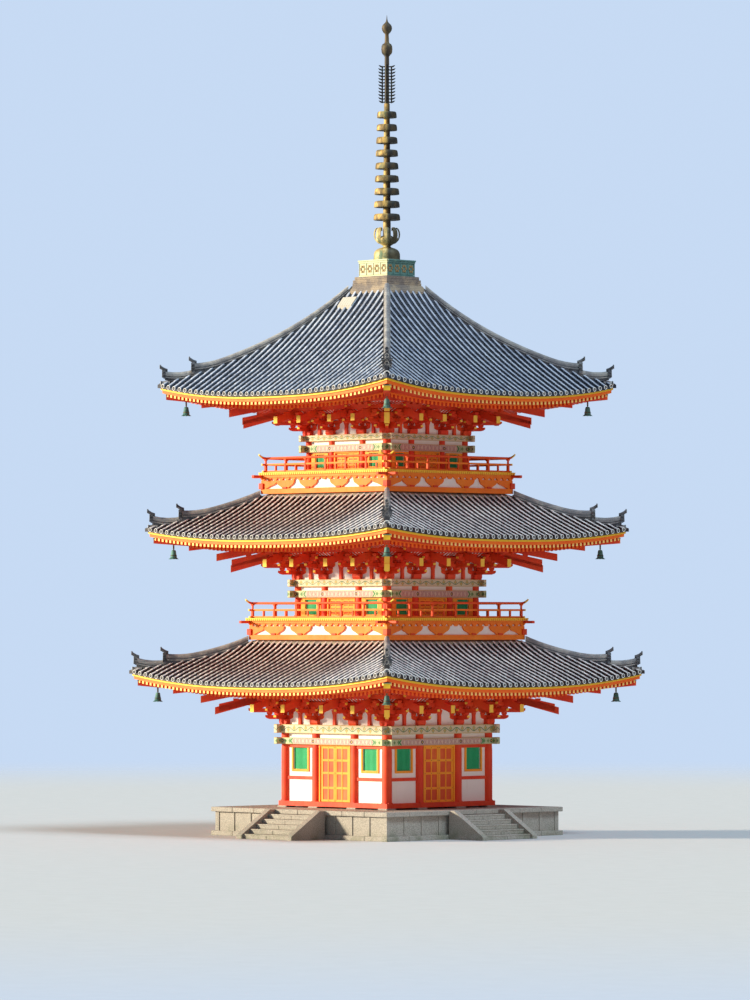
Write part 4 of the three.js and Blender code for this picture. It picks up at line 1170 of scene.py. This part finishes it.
limed = two_tone("limed_rim", (8, 4), 0xE2DED6, 0xFAF8F2, 0.85, (16, 3))
end_clay = tile_finish("end_tile_clay", 0x969492, 0x686666, 0xB0ACA0)
# The pans, and the clay under them, are painted near black as the shade between the rows of cover tiles.
brown_clays = [tile_finish("brown_pan_clay_painted_shade", 0x2E2424, 0x161010, 0x423830, 0.3),
               tile_finish("brown_grey_clay", 0xE8E0DA, 0xBAB2B0, 0xF0EADE, 0.5),
               tile_finish("brown_flank_clay_painted_shade", 0x4A3A3A, 0x2A2224, 0x5C5046)]
grey_clays = [tile_finish("grey_pan_clay_painted_shade", 0x202A3C, 0x101622, 0x303846, 0.3),
              tile_finish("grey_clay", 0xBEC4D0, 0x8E95A4, 0xCED2D6, 0.5),
              tile_finish("grey_flank_clay_painted_shade", 0x3A4150, 0x242A36, 0x4E545C)]
for number, (roof, clays) in enumerate(zip(ROOFS, (brown_clays, brown_clays, grey_clays)), 1):
    pans, covers = tile_shapes(roof)
    pan_clay, clay, flank_shade_clay = clays
    piece(f"pan_tiles_{number}", pans, [pan_clay], [f"roof_tiles_{number}"])
    piece(f"cover_tiles_{number}", covers, [pan_clay, clay, limed, end_clay, flank_shade_clay],
          [f"roof_tiles_{number}"], smooth=40)


# The corner ridges: flat tiles stacked in courses under a row of round ones, in an upper and a
# lower run on each diagonal, each ending in an ornamental tile with an upturned round one on it.
RIDGE_WIDE = 0.26
UPPER_RIDGE = 0.30
LOWER_RIDGE = 0.22
TOP_ROW = 0.17
RIDGE_SWEEP = 1.1
RIDGE_STATIONS = 15
ROUND_TILE = 0.26
SHIELD = ((-0.62, -0.25), (-0.5, 0.1), (-0.68, 0.42), (-0.42, 0.55), (-0.5, 0.85), (-0.3, 0.98),
          (-0.16, 1.22), (0.16, 1.22), (0.3, 0.98), (0.5, 0.85), (0.42, 0.55), (0.68, 0.42), (0.5, 0.1),
          (0.62, -0.25), (0.3, -0.12), (-0.3, -0.12))
BOSSES = ((0.0, 0.5, 0.085), (-0.42, 0.14, 0.05), (0.42, 0.14, 0.05), (0.0, 0.95, 0.045))
HORN = 0.28
HORN_SLOPE = 0.5
RIDGE_TOPS = {1: STOREY_2["low"], 2: STOREY_3["low"], 3: 20.73}
PALE = 0
DARK = 3


def ridge_run(shape, roof, start, end, high, wide, tip):
    """A ridge along the diagonal from start to end, rising by tip at its end. Gives the end's height."""
    def ground(r):
        past = max(0.0, (r - end + RIDGE_SWEEP) / RIDGE_SWEEP)
        return float(hip_height(roof, r / ROOT_2)) + tip * past ** 2

    row = high - TOP_ROW
    for low, top, inset, finish in ((-0.12, row - 0.075, 0.02, DARK), (row - 0.075, row - 0.03, 0.0, PALE),
                                    (row - 0.03, row + 0.01, 0.025, DARK)):
        half = wide / 2 - inset
        section = ((-half, top), (-half, low), (half, low), (half, top))
        shape.loft([[(x, -r, ground(r) + z) for x, z in section]
                    for r in np.linspace(start, end, RIDGE_STATIONS)], finish)
    count = int((end - start) / ROUND_TILE)
    rings = []
    for n in range(count):
        for place, radius in ((n, 0.104), (n + 1, 0.094)):
            r = end - (end - start) * place / count
            z = ground(r) + row
            arc = [(radius * math.cos(a), -r, z + TOP_ROW - radius + radius * math.sin(a))
                   for a in (math.pi * k / 7 for k in range(8))]
            rings.append([(radius, -r, z), *arc, (-radius, -r, z)])
    shape.loft(rings, PALE)
    return ground(end)


def ridge_end(shape, r, base, high, wide):
    """The ornamental end tile: a shield with shoulders and feet, bosses, and a raised round tile."""
    shape.panel([(a * wide, base + b * high) for a, b in SHIELD], r - 0.03, r + 0.06, DARK)
    shape.panel([(a * wide * 0.72, base + (0.08 + b * 0.8) * high) for a, b in SHIELD[1:14]],
                r + 0.05, r + 0.09, DARK)
    for a, b, size in BOSSES:
        end_disc(shape, a * wide, r + 0.11, base + b * high, size, PALE)
    foot = base + high * 1.12
    shape.loft([disc(0.0, r - 0.1 + t * HORN, foot + HORN_SLOPE * HORN * t * (0.35 + 0.65 * t),
                     0.062 + 0.012 * t, 12) for t in (n / 6 for n in range(7))], DARK)
    end_disc(shape, 0.0, r - 0.1 + HORN + 0.02, foot + HORN_SLOPE * HORN, 0.08, PALE)


def ridges_shape(roof, number):
    edge = (roof["eave"] + OVERHANG) * ROOT_2
    head, apron, out = (0.94, 0.15, 0.15) if number == 3 else (roof["top"] + 0.01, 0.30, 0.24)
    corner = Shape()
    upper, lower = edge - 1.4, edge - 0.3
    base = ridge_run(corner, roof, (head + apron - 0.06) * ROOT_2, upper, UPPER_RIDGE, RIDGE_WIDE, 0.15)
    ridge_end(corner, upper, base, UPPER_RIDGE, 0.33)
    base = ridge_run(corner, roof, upper - 0.1, lower, LOWER_RIDGE, RIDGE_WIDE - 0.04, 0.26)
    ridge_end(corner, lower, base, LOWER_RIDGE, 0.30)
    z = float(hip_height(roof, edge / ROOT_2))
    corner.loft([disc(0.0, edge - back, z + 0.05 + rise, 0.11, 14)
                 for back, rise in ((0.5, 0.06), (0.16, 0.02))])
    end_disc(corner, 0.0, edge - 0.13, z + 0.07, 0.125, rim=1)
    whole = Shape()
    whole.all_sides(corner, DIAGONALS)
    outer = head + out
    foot, lip = middle_height(roof, head), middle_height(roof, outer)
    top = RIDGE_TOPS[number] - 0.001
    apron_side = Shape()
    for n in range(8):
        places = [(-head + k * head / 4, -outer + k * outer / 4) for k in (n, n + 1)]
        apron_side.loft([[(near, -head, foot), (far, -outer, lip + 0.02), (far, -outer, lip + 0.11),
                          (near, -head, top)] for near, far in places], 2)
    whole.all_sides(apron_side)
    return whole


def ridge_finish(name, light, dark, lichen, amount):
    """Stacked flat tiles: a dark line at each course, and lichen in patches."""
    finish = Finish(name)
    line = abs((finish.place("Z") % 0.07) - 0.035).below(0.006)
    speckle = finish.noise(16, 5)
    tone = finish.mixed(speckle, dark, light)
    tone = finish.mixed(finish.noise(2.4, 5).share(0.4, 0.62) * amount, tone, lichen)
    tone = finish.mixed(line * 0.4, tone, dark)
    return finish.done(tone, 0.75, speckle - line * 0.5, 0.005)


disc_clay = tile_finish("dark_ridge_clay", 0x606268, 0x34363C, 0x807E76)
ridge_clay = ridge_finish("ridge_clay", 0x9E9A96, 0x5C5C62, 0xC0BBB0, 0.6)
flashing = ridge_finish("weathered_flashing", 0x968878, 0x504A4A, 0xB09C7E, 0.7)
for number, roof in enumerate(ROOFS, 1):
    piece(f"ridge_tiles_{number}", ridges_shape(roof, number), [ridge_clay, limed, flashing, disc_clay],
          [f"corner_ridges_{number}"], smooth=30)


# The hatch: a curb near the top of the highest roof, closed by pale boards that run down the slope.
HATCH_X = (-1.02, -0.28)
HATCH_S = (1.62, 1.32)
HATCH_CURB = 0.13
HATCH_HIGH = 0.17
HATCH_BOARDS = 6


def hatch_shape():
    shape = Shape()
    (low, high), (z_low, z_high) = HATCH_S, [middle_height(ROOFS[2], s) for s in HATCH_S]

    def sloped(x0, x1, z0, z1):
        shape.loft([[(x, -low, z_low + z0), (x, -high, z_high + z0), (x, -high, z_high + z1),
                     (x, -low, z_low + z1)] for x in (x0, x1)])

    x0, x1 = HATCH_X
    wide = (x1 - x0) / HATCH_BOARDS
    sloped(x0, x1, 0.0, HATCH_CURB)
    for n in range(HATCH_BOARDS):
        sloped(x0 + n * wide + 0.004, x0 + (n + 1) * wide - 0.004, HATCH_CURB, HATCH_HIGH)
    return shape


hatch_grain = (8, 5, (3.0, 0.4, 0.4))
hatch_boards = two_tone("pale_hatch_boards", hatch_grain, 0xB0A898, 0xCAC2B2, 0.8, hatch_grain, 0.003)
piece("hatch_boards", hatch_shape(), [hatch_boards], ["roof_hatch"])


# The balconies: a base beam on the roof, white plaster with bracket arms on the column lines, a
# row of small blocks, a projecting cap and a boarded deck with a yellow edge.
BASE_BEAM = 0.19
BEAM_THICK = 0.235
FIELD_BACK = 0.08
CAP_HIGH = 0.10
DECK_THICK = 0.1
JOIST_PITCH = 0.112
CORNER_REACH = 0.40
ARM_OUTLINE = ((0.16, 0.0), (0.31, 0.27), (0.465, 0.48), (0.535, 0.70), (0.56, 1.0))
ARM_SHARE = 0.75
ARM_BAY = 1.44
CORNER_SPREAD = 1.5
CAP_BLOCK_PITCH = 0.33
RED = 3


def balcony_arm(side, x, left, right, foot, high, out):
    """A bell-shaped arm at x; left and right stretch its outline to either side."""
    side.panel([(x + half * right, foot + share * high) for half, share in ARM_OUTLINE]
               + [(x - half * left, foot + share * high) for half, share in reversed(ARM_OUTLINE)],
               out - 0.09, out)


def balcony_shape(storey, roof_below, storey_below):
    half, low = storey["balcony"], storey["low"]
    column, inner = storey["column"], storey["inner"]
    deck_low = storey["foot"] - DECK_THICK
    cap = deck_low - CAP_HIGH
    field = half - FIELD_BACK
    foot = low + BASE_BEAM
    tall = cap - foot
    arm = (foot, tall * ARM_SHARE, field + 0.07)
    stretch = (column - inner) / ARM_BAY
    side = Shape()
    for x in (-column, -inner, inner, column):
        balcony_arm(side, x, stretch, stretch, *arm)
        side.block(x - 0.11, x + 0.11, field + 0.12, field, foot - 0.01, foot + 0.055, TIMBER_EDGE, RED)
    balcony_arm(side, -field - 0.07, 0.0, CORNER_SPREAD, *arm)
    balcony_arm(side, field + 0.07, CORNER_SPREAD, 0.0, *arm)
    side.pair(field - 0.08, field + 0.14, field + 0.14, field, foot - 0.01, foot + tall * 0.5, 0.01, RED)
    z = foot + tall * ARM_SHARE
    for x in np.linspace(-half + 0.1, half - 0.1, int(2 * half / CAP_BLOCK_PITCH) + 1):
        side.panel([(x - 0.15, cap), (x - 0.13, cap - 0.03), (x - 0.05, z), (x + 0.05, z),
                    (x + 0.13, cap - 0.03), (x + 0.15, cap)], field - 0.01, field + 0.065)
    side.pair(half - 0.1, storey["deck"] + CORNER_REACH, half + 0.02, half - 0.12, cap, deck_low - 0.005,
              0.012, RED)
    whole = all_round(side, clear=0.003)
    skirt = half - BEAM_THICK
    seat = base_line(rafter_lines(roof_below, storey_below), skirt) + 0.2
    whole.square_ring(skirt, half, low, foot)
    whole.square_ring(field - 0.1, field, foot - 0.01, cap + 0.01, WHITE)
    whole.square_ring(field - 0.1, half + 0.02, cap, deck_low - 0.001)
    whole.square_ring(skirt - 0.15, skirt, seat, low + 0.01)
    return whole


def deck_shape(storey):
    edge, top = storey["deck"], storey["foot"]
    shape, boards, joists = Shape(), Shape(), Shape()
    shape.block(-edge + 0.02, edge - 0.02, edge - 0.02, -edge + 0.02, top - 0.095, top - 0.02)
    outer = edge - 0.03
    for x0, x1 in stations(int(2 * outer / 0.2), outer, 0.006):
        boards.block(x0, x1, outer, storey["column"] - 0.33, top - 0.03, top - 0.001)
    shape.all_sides(boards, (0, 180))
    shape.square_ring(edge - 0.04, edge - 0.012, top - 0.1, top)
    shape.square_ring(edge - 0.03, edge, top - 0.025, top + 0.001, 1)
    for x0, x1 in stations(int(2 * edge / JOIST_PITCH), edge):
        middle = (x0 + x1) / 2
        joists.block(middle - 0.038, middle + 0.038, edge, edge - 0.03, top - 0.1, top - 0.024, 0.004, 1)
    shape.all_sides(joists)
    return shape


balcony_orange = timber_finish("balcony_paint", 0xFF7A08, 0xFF8C14, 0xD85006)
deck_boards = timber_finish("deck_paint", 0xE86E1E, 0xF08C3C, 0xAA4614)
for storey, roof_below, storey_below in ((STOREY_2, ROOFS[0], STOREY_1), (STOREY_3, ROOFS[1], STOREY_2)):
    number = storey["number"]
    piece(f"balcony_brackets_{number}", balcony_shape(storey, roof_below, storey_below),
          [balcony_orange, yellow_ends, plaster, vermilion], [f"balcony_base_{number}"])
    piece(f"balcony_boards_{number}", deck_shape(storey), [deck_boards, yellow_strip],
          [f"balcony_deck_{number}"])


# The railings: a squared sill rail on the deck, a thin middle rail, and a round top rail whose
# ends run past the corners and turn up; posts carry it, with short struts between the lower two.
RAIL_BACK = 0.20
RAIL_PAST = 0.36
RAIL_TURN_UP = 0.13
RAIL_RADIUS = 0.046
SILL_RAIL = 0.07
MIDDLE_RAIL = 0.335


def round_rail(shape, line, z):
    """A round rail along the side at that line; its yellow ends curve up past the corners."""
    def ring(x):
        over = max(0.0, (abs(x) - line) / RAIL_PAST)
        return across(x, line, z + RAIL_TURN_UP * over ** 2, RAIL_RADIUS * (1 - 0.25 * over), 10)

    painted = line + RAIL_PAST * 0.6
    curve = list(np.linspace(line, painted, 5))
    shape.loft([ring(x) for x in [-x for x in reversed(curve)] + curve])
    for end in (-1, 1):
        shape.loft([ring(end * x) for x in np.linspace(painted, line + RAIL_PAST, 4)], YELLOW)


def railing_shape(storey):
    line = storey["deck"] - RAIL_BACK
    floor_z, rail = storey["foot"], storey["rail"]
    sill_top, middle_top = floor_z + SILL_RAIL, floor_z + MIDDLE_RAIL
    side = Shape()
    round_rail(side, line, rail - RAIL_RADIUS)
    for z0, z1, half, past in ((floor_z + 0.001, sill_top, 0.04, 0.16),
                               (middle_top - 0.07, middle_top, 0.0325, 0.2)):
        end = line + past
        side.block(-end, end, line + half, line - half, z0, z1, 0.008, 2)
        side.pair(end, end + END_SKIN, line + half, line - half, z0, z1, finish=YELLOW)
    for n in range(6):
        x = (n / 3 - 1) * line
        side.post(x, line, 0.046, 0.046, floor_z + 0.01, middle_top, TIMBER_EDGE)
        bearing_block(side, x, line, rail - 0.13, rail - 0.08, 0.11)
        side.post(x, line, 0.03, 0.03, middle_top - 0.01, rail - 0.11, 0.004)
        side.post(x + line / 6, line, 0.03, 0.025, sill_top - 0.005, middle_top - 0.06, 0.004)
    return all_round(side, clear=0.002)


rail_orange = timber_finish("rail_paint", 0xFF7C10, 0xFF921E, 0xDC540A)
rail_red = timber_finish("top_rail_paint", 0xF05010, 0xF8681E, 0xB0300C)
for storey in (STOREY_2, STOREY_3):
    piece(f"balcony_rails_{storey['number']}", railing_shape(storey), [rail_red, yellow_ends, rail_orange],
          [f"railing_{storey['number']}"])


# The spire's base: a weathered plinth of stacked courses, and on it the square copper basin with
# a brown ornament in each of its sunk panels and a projecting flange.
PLINTH_HALF = 0.932
PLINTH_LOW = 20.6
PLINTH_TOP = 21.07
PLINTH_INSETS = (0.0, 0.012, 0.024, 0.07)
BASIN_HALF = 0.748
BASIN_TOP = 21.697
FLANGE = 0.037


def spire_base_shape():
    shape = Shape()
    high = (PLINTH_TOP - PLINTH_LOW) / len(PLINTH_INSETS)
    for n, inset in enumerate(PLINTH_INSETS):
        z0 = PLINTH_LOW + n * high + 0.001
        shape.square_ring(0.3, PLINTH_HALF - inset, z0, z0 + high - 0.008, 1)
    shape.square_ring(0.28, PLINTH_HALF - 0.09, PLINTH_LOW + 0.001, PLINTH_TOP, 1)
    low = PLINTH_TOP + 0.001
    shape.square_ring(0.3, BASIN_HALF, low, low + 0.05)
    shape.square_ring(0.3, BASIN_HALF - 0.02, low + 0.06, BASIN_TOP - 0.1)
    wide = BASIN_HALF + FLANGE
    shape.block(-wide, wide, wide, -wide, BASIN_TOP - 0.06, BASIN_TOP, 0.012)
    shape.square_ring(0.3, BASIN_HALF + 0.01, BASIN_TOP - 0.12, BASIN_TOP - 0.05)
    side = Shape()
    for n in range(4):
        x = -BASIN_HALF + n * BASIN_HALF / 2
        side.block(max(x - 0.025, -BASIN_HALF), x + 0.025, BASIN_HALF, BASIN_HALF - 0.04,
                   low + 0.06, BASIN_TOP - 0.11, 0.004)
        for angle in angles(6):
            lobe_x = x + BASIN_HALF / 4 + 0.095 * math.cos(angle)
            lobe_z = (low + BASIN_TOP - 0.04) / 2 + 0.11 * math.sin(angle)
            side.block(lobe_x - 0.042, lobe_x + 0.042, BASIN_HALF + 0.002, BASIN_HALF - 0.04,
                       lobe_z - 0.045, lobe_z + 0.045, 0.014, 2)
    shape.all_sides(side)
    return shape


def basin_finish():
    """Copper, pale yellow green in front, in part bleached by the sun and in part painted sunlight, with a
    faint brown bloom, and darker green elsewhere, in part painted shade.
    """
    finish = Finish("basin_copper")
    patches = finish.noise(3.4, 5)
    runs = finish.noise(8, 4, (1.0, 1.0, 0.2))
    bleached_and_sunlit = finish.mixed(patches.share(0.3, 0.7), 0xB0BC94, 0xD2CEA6)
    # The front face, towards the low sun, gets the pale tone in part as painted sunlight; the other faces get
    # the darker green in part as painted shade.
    front = finish.place("Y").below(-BASIN_HALF + 0.06)
    tone = finish.mixed(front, finish.mixed(patches, 0x3A6460, 0x68948A), bleached_and_sunlit)
    tone = finish.mixed(runs.share(0.55, 0.8) * 0.4, tone, 0x96BA96)
    tone = finish.mixed(finish.noise(6, 5).share(0.6, 0.78) * 0.45, tone, 0x967E52)
    return finish.done(tone, 0.65, patches + runs * 0.4, 0.004, metallic=0.1)


ornament_patina = two_tone("panel_patina", (7, 5), 0x785C38, 0xAA9260, 0.6, (12, 4), 0.004, 0.2)
piece("spire_basin", spire_base_shape(), [basin_finish(), flashing, ornament_patina],
      ["spire_base"])


# The bowl and lotus: a cast bronze dome turned over on the basin, and above it a cup of eight open
# petals with eight smaller ones between, all round the mast.
BOWL_RADIUS = 0.514
LOTUS_RADIUS = 0.506
LOTUS_TOP = 22.94
MAST_FOOT = 22.5
BOWL = ((1.0, 0), (1.0, 0.035), (0.97, 0.05), (0.97, 0.16), (0.96, 0.25), (0.91, 0.33), (0.8, 0.4),
        (0.6, 0.455))
NECK = ((0.18, 0.495), (0.14, 0.52), (0.15, 0.56), (0.25, 0.62), (0.34, 0.68), (0.385, 0.74), (0.36, 0.755),
        (0.2, 0.77))
PETAL = ((0.74, 0.0, 0.55), (0.88, 0.14, 0.8), (0.96, 0.32, 0.95), (0.995, 0.52, 1.0), (0.97, 0.74, 0.95),
         (0.88, 0.92, 0.82), (0.76, 1.0, 0.62), (0.64, 0.97, 0.42), (0.57, 0.84, 0.2))
PETAL_THICK = 0.018


def bronze_finish(name, green, seed, dark=0x28241E, light=0x544A38, ochre=0x76623E, damp_and_shade=0.0):
    """Old bronze: brown with green and ochre tarnish, and darkened by so much on the side away from the sun
    as painted shade.
    """
    finish = Finish(name)
    patches = finish.noise(2.6 + seed, 5)
    fine = finish.noise(18, 5)
    tone = finish.mixed(fine, dark, light)
    tone = finish.mixed(finish.noise(4.3 + seed, 4, (1.0, 1.0, 0.5)).share(0.45, 0.62) * 0.8, tone, ochre)
    tone = finish.mixed(patches.share(0.5, 0.66) * green, tone, 0x567A62)
    # Painted shade: the half that faces +X and +Y, away from the low sun, is darkened towards near black.
    away = (finish.place("X") + finish.place("Y")).share(-0.06, 0.12)
    tone = finish.mixed(away * damp_and_shade, tone, 0x0A141A)
    return finish.done(tone, 0.5 + fine * 0.25, fine + patches * 0.4, 0.004, metallic=0.25)


def turned_shape(profile, sides=32, finish=0):
    """A body turned round the axis from (radius, height) points."""
    shape = Shape()
    shape.loft([circle(0, 0, z, max(r, 0.0005), sides) for r, z in profile], finish)
    return shape


def petal(radius, low, high, wide):
    """A broad petal that leans out from the axis and curls over at its rounded tip."""
    rings = []
    for out_share, z_share, width_share in PETAL:
        out, z, half = radius * out_share, low + (high - low) * z_share, wide * width_share
        side, thick = out - half * 0.35, PETAL_THICK
        rings.append([(-half, -side, z), (0, -out, z), (half, -side, z), (half, thick - side, z - thick),
                      (0, thick - out, z - thick), (-half, thick - side, z - thick)])
    shape = Shape()
    shape.loft(rings)
    return shape


def bowl_shape():
    foot = BASIN_TOP + 0.001
    profile = [(BOWL_RADIUS * r, foot + z) for r, z in BOWL] + [(r, foot + z) for r, z in NECK]
    shape = turned_shape(profile + [(NECK[-1][0], MAST_FOOT)])
    for n in range(8):
        shape.include(petal(LOTUS_RADIUS, foot + 0.69, LOTUS_TOP, 0.115), n * 45)
        shape.include(petal(LOTUS_RADIUS * 0.9, foot + 0.66, foot + 0.92, 0.09), n * 45 + 22.5)
    return shape


# The bowl and lotus are darkened on the side away from the sun as painted shade.
bowl_bronze = bronze_finish("bowl_bronze", 0.85, 0.4, 0x8E7642, 0xCCBC80, 0xDECE92, 0.85)
piece("bowl_and_lotus", bowl_shape(), [bowl_bronze], ["spire_bowl_and_lotus"], smooth=35)


# The nine rings: bronze hoops of falling size on the mast, bevelled at their upper edge, each with a
# hub, eight spokes and a web that closes it from below, painted near black as the shade under the ring.
RING_LOW = 23.343
RING_HIGH = 27.222
RINGS = 9
RING_RADIUS = (0.506, 0.374)
RING_TALL = 0.23
SHAFT = (0.151, 0.108)
FLAME_LOW = 27.645


def rings_shape():
    foot, top = MAST_FOOT + 0.001, FLAME_LOW - 0.001
    shape = turned_shape([(SHAFT[0], foot), (SHAFT[1], top)], 20)
    for n in range(RINGS):
        share = n / (RINGS - 1)
        z = RING_LOW + (RING_HIGH - RING_LOW) * share
        radius = RING_RADIUS[0] + (RING_RADIUS[1] - RING_RADIUS[0]) * share
        low, high = z - RING_TALL / 2, z + RING_TALL / 2
        band = [(radius * 0.985, low), (radius, low + 0.02), (radius * 0.985, low + 0.12),
                (radius * 0.95, high - 0.035), (radius * 0.9, high - 0.008), (radius * 0.84, high),
                (radius * 0.82, low)]
        shape.loft([[(r * math.cos(a), r * math.sin(a), h) for r, h in band] for a in angles(36)],
                   closed=True)
        hub = SHAFT[0] + (SHAFT[1] - SHAFT[0]) * (z - foot) / (top - foot)
        shape.include(turned_shape([(hub + 0.005, low - 0.02), (hub + 0.05, low + 0.02),
                                    (hub + 0.05, high - 0.02), (hub + 0.005, high + 0.02)], 20))
        shape.include(turned_shape([(hub, low + 0.012), (radius * 0.9, low + 0.012),
                                    (radius * 0.9, low + 0.035), (hub, low + 0.035)], 24, 1))
        spoke = Shape()
        spoke.block(-0.03, 0.03, radius * 0.87, hub, low + 0.03, high - 0.05, 0.006)
        shape.all_sides(spoke, range(0, 360, 45))
    return shape


# The rings are darkened on the side away from the sun as painted shade, and their webs are painted near black
# as shade.
ring_bronze = bronze_finish("ring_bronze", 0.45, 0.0, 0x463C26, 0x947C4A, 0xE0BA68, 0.9)
web_bronze_painted_shade = bronze_finish("web_bronze_painted_shade", 0.2, 0.3, 0x141414, 0x28241E, 0x2E281E)
piece("nine_rings", rings_shape(), [ring_bronze, web_bronze_painted_shade], ["spire_rings"], smooth=35)


# The flames: four pierced bronze fins on the mast's diagonals, each a stem with rows of slanting
# tongues inside and outside it.
FLAME_HIGH = 29.113
FLAME_RADIUS = 0.332
FLAME_ROWS = 12
STEM = 0.17


def flames_shape():
    shape = turned_shape([(0.09, FLAME_LOW), (0.08, FLAME_HIGH)], 16)
    fin = Shape()
    high = (FLAME_HIGH - FLAME_LOW) / FLAME_ROWS
    for n in range(FLAME_ROWS):
        z = FLAME_LOW + high * (n + 0.14)
        reach = FLAME_RADIUS * (0.95 if n in (0, FLAME_ROWS - 1) else 1)
        fin.plate([(STEM, z), (reach - 0.05, z + high * 0.3), (reach, z + high * 0.84),
                   (reach - 0.07, z + high * 0.72), (STEM, z + high * 0.46)], 0.05)
        fin.plate([(0.04, z + high * 0.2), (STEM, z + high * 0.1), (STEM, z + high * 0.4),
                   (0.04, z + high * 0.62)], 0.05)
    fin.plate([(STEM - 0.025, FLAME_LOW + 0.02), (STEM + 0.03, FLAME_LOW + 0.02),
               (STEM + 0.03, FLAME_HIGH - 0.05), (STEM - 0.025, FLAME_HIGH - 0.03)], 0.04)
    shape.all_sides(fin, DIAGONALS)
    return shape


flame_bronze = bronze_finish("flame_bronze", 0.2, 0.7, 0x161818, 0x322C24, 0x3E3424)
piece("pierced_flames", flames_shape(), [flame_bronze], ["spire_flames"], smooth=30)


# The jewels: a round vessel between two collars and a pointed jewel over it, cast in bronze, at the
# top of the mast.
BALL_Z = 29.71
JEWEL_Z = 30.503
SPIRE_TIP = 31.0
BALL = ((0.085, -0.27), (0.12, -0.25), (0.12, -0.22), (0.165, -0.19), (0.2, -0.12), (0.212, 0.0),
        (0.2, 0.12), (0.165, 0.19), (0.11, 0.22), (0.085, 0.26))
JEWEL = ((0.07, -0.23), (0.1, -0.19), (0.14, -0.15), (0.18, -0.08), (0.197, 0.0), (0.185, 0.08),
         (0.14, 0.15), (0.08, 0.2), (0.035, 0.27), (0.018, 0.36))
jewels = turned_shape([(0.09, FLAME_HIGH + 0.001), *((r, BALL_Z + z) for r, z in BALL),
                       *((r, JEWEL_Z + z) for r, z in JEWEL), (0.006, SPIRE_TIP)], 28)
piece("jewels", jewels, [bronze_finish("jewel_bronze", 0.15, 1.1)], ["spire_jewels"],
      smooth=40)


# The wind bells: cast copper bells gone green, waisted, with a lobed flaring rim, each hung by an
# eye from a pin under its hip rafter.
CORNERS = {"front_right": 45, "back_right": 135, "back_left": 225, "front_left": 315}
EYE_RADIUS = 0.0093
BELL = ((0.004, -0.048), (0.045, -0.05), (0.075, -0.065), (0.088, -0.1), (0.1, -0.19), (0.118, -0.29),
        (0.125, -0.315), (0.118, -0.33), (0.14, -0.355), (0.184, -0.388), (0.187, -0.4), (0.155, -0.4),
        (0.125, -0.35), (0.098, -0.305), (0.062, -0.11), (0.004, -0.1))
BAND = ((-0.275, 0.118), (-0.27, 0.124), (-0.25, 0.122), (-0.245, 0.112))


def bell_shape():
    """A bell with its pivot at the origin, swinging in the plane of the front direction."""
    def ring(radius, z):
        flare = max(0.0, (radius - 0.13) / 0.057)
        points = []
        for a in angles(32):
            lobe = flare * abs(math.sin(4 * a))
            points.append(((radius - 0.028 * lobe) * math.cos(a), (radius - 0.028 * lobe) * math.sin(a),
                           z + 0.02 * lobe))
        return points

    shape = Shape()
    shape.loft([ring(*point) for point in BELL])
    shape.loft([across(x, 0, 0, radius, 12) for x, radius in
                ((-0.018, 0.026), (0.018, 0.026), (0.018, EYE_RADIUS), (-0.018, EYE_RADIUS))], closed=True)
    shape.block(-0.014, 0.014, 0.018, -0.018, -0.055, -0.014, 0.003)
    shape.loft([circle(0, 0, z, r) for z, r in BAND], 1)
    return shape


bell_band = bronze_finish("bell_band_bronze", 0.2, 0.2)
bell_copper = copper_finish("bell_copper", 0x306058, 0x5C8E80, 0x8CB09C)
for roof, storey in zip(ROOFS, STOREYS):
    reach, pin_z = bell_pin(hip_lines(roof, storey))
    for corner, degrees in CORNERS.items():
        hung, turned = Shape(), Shape()
        hung.include(bell_shape(), at=(0, -reach, pin_z))
        turned.include(hung, degrees)
        name = f"bell_{storey['number']}_{corner}"
        piece(f"wind_{name}", turned, [bell_copper, bell_band], [name], body=name, smooth=40)
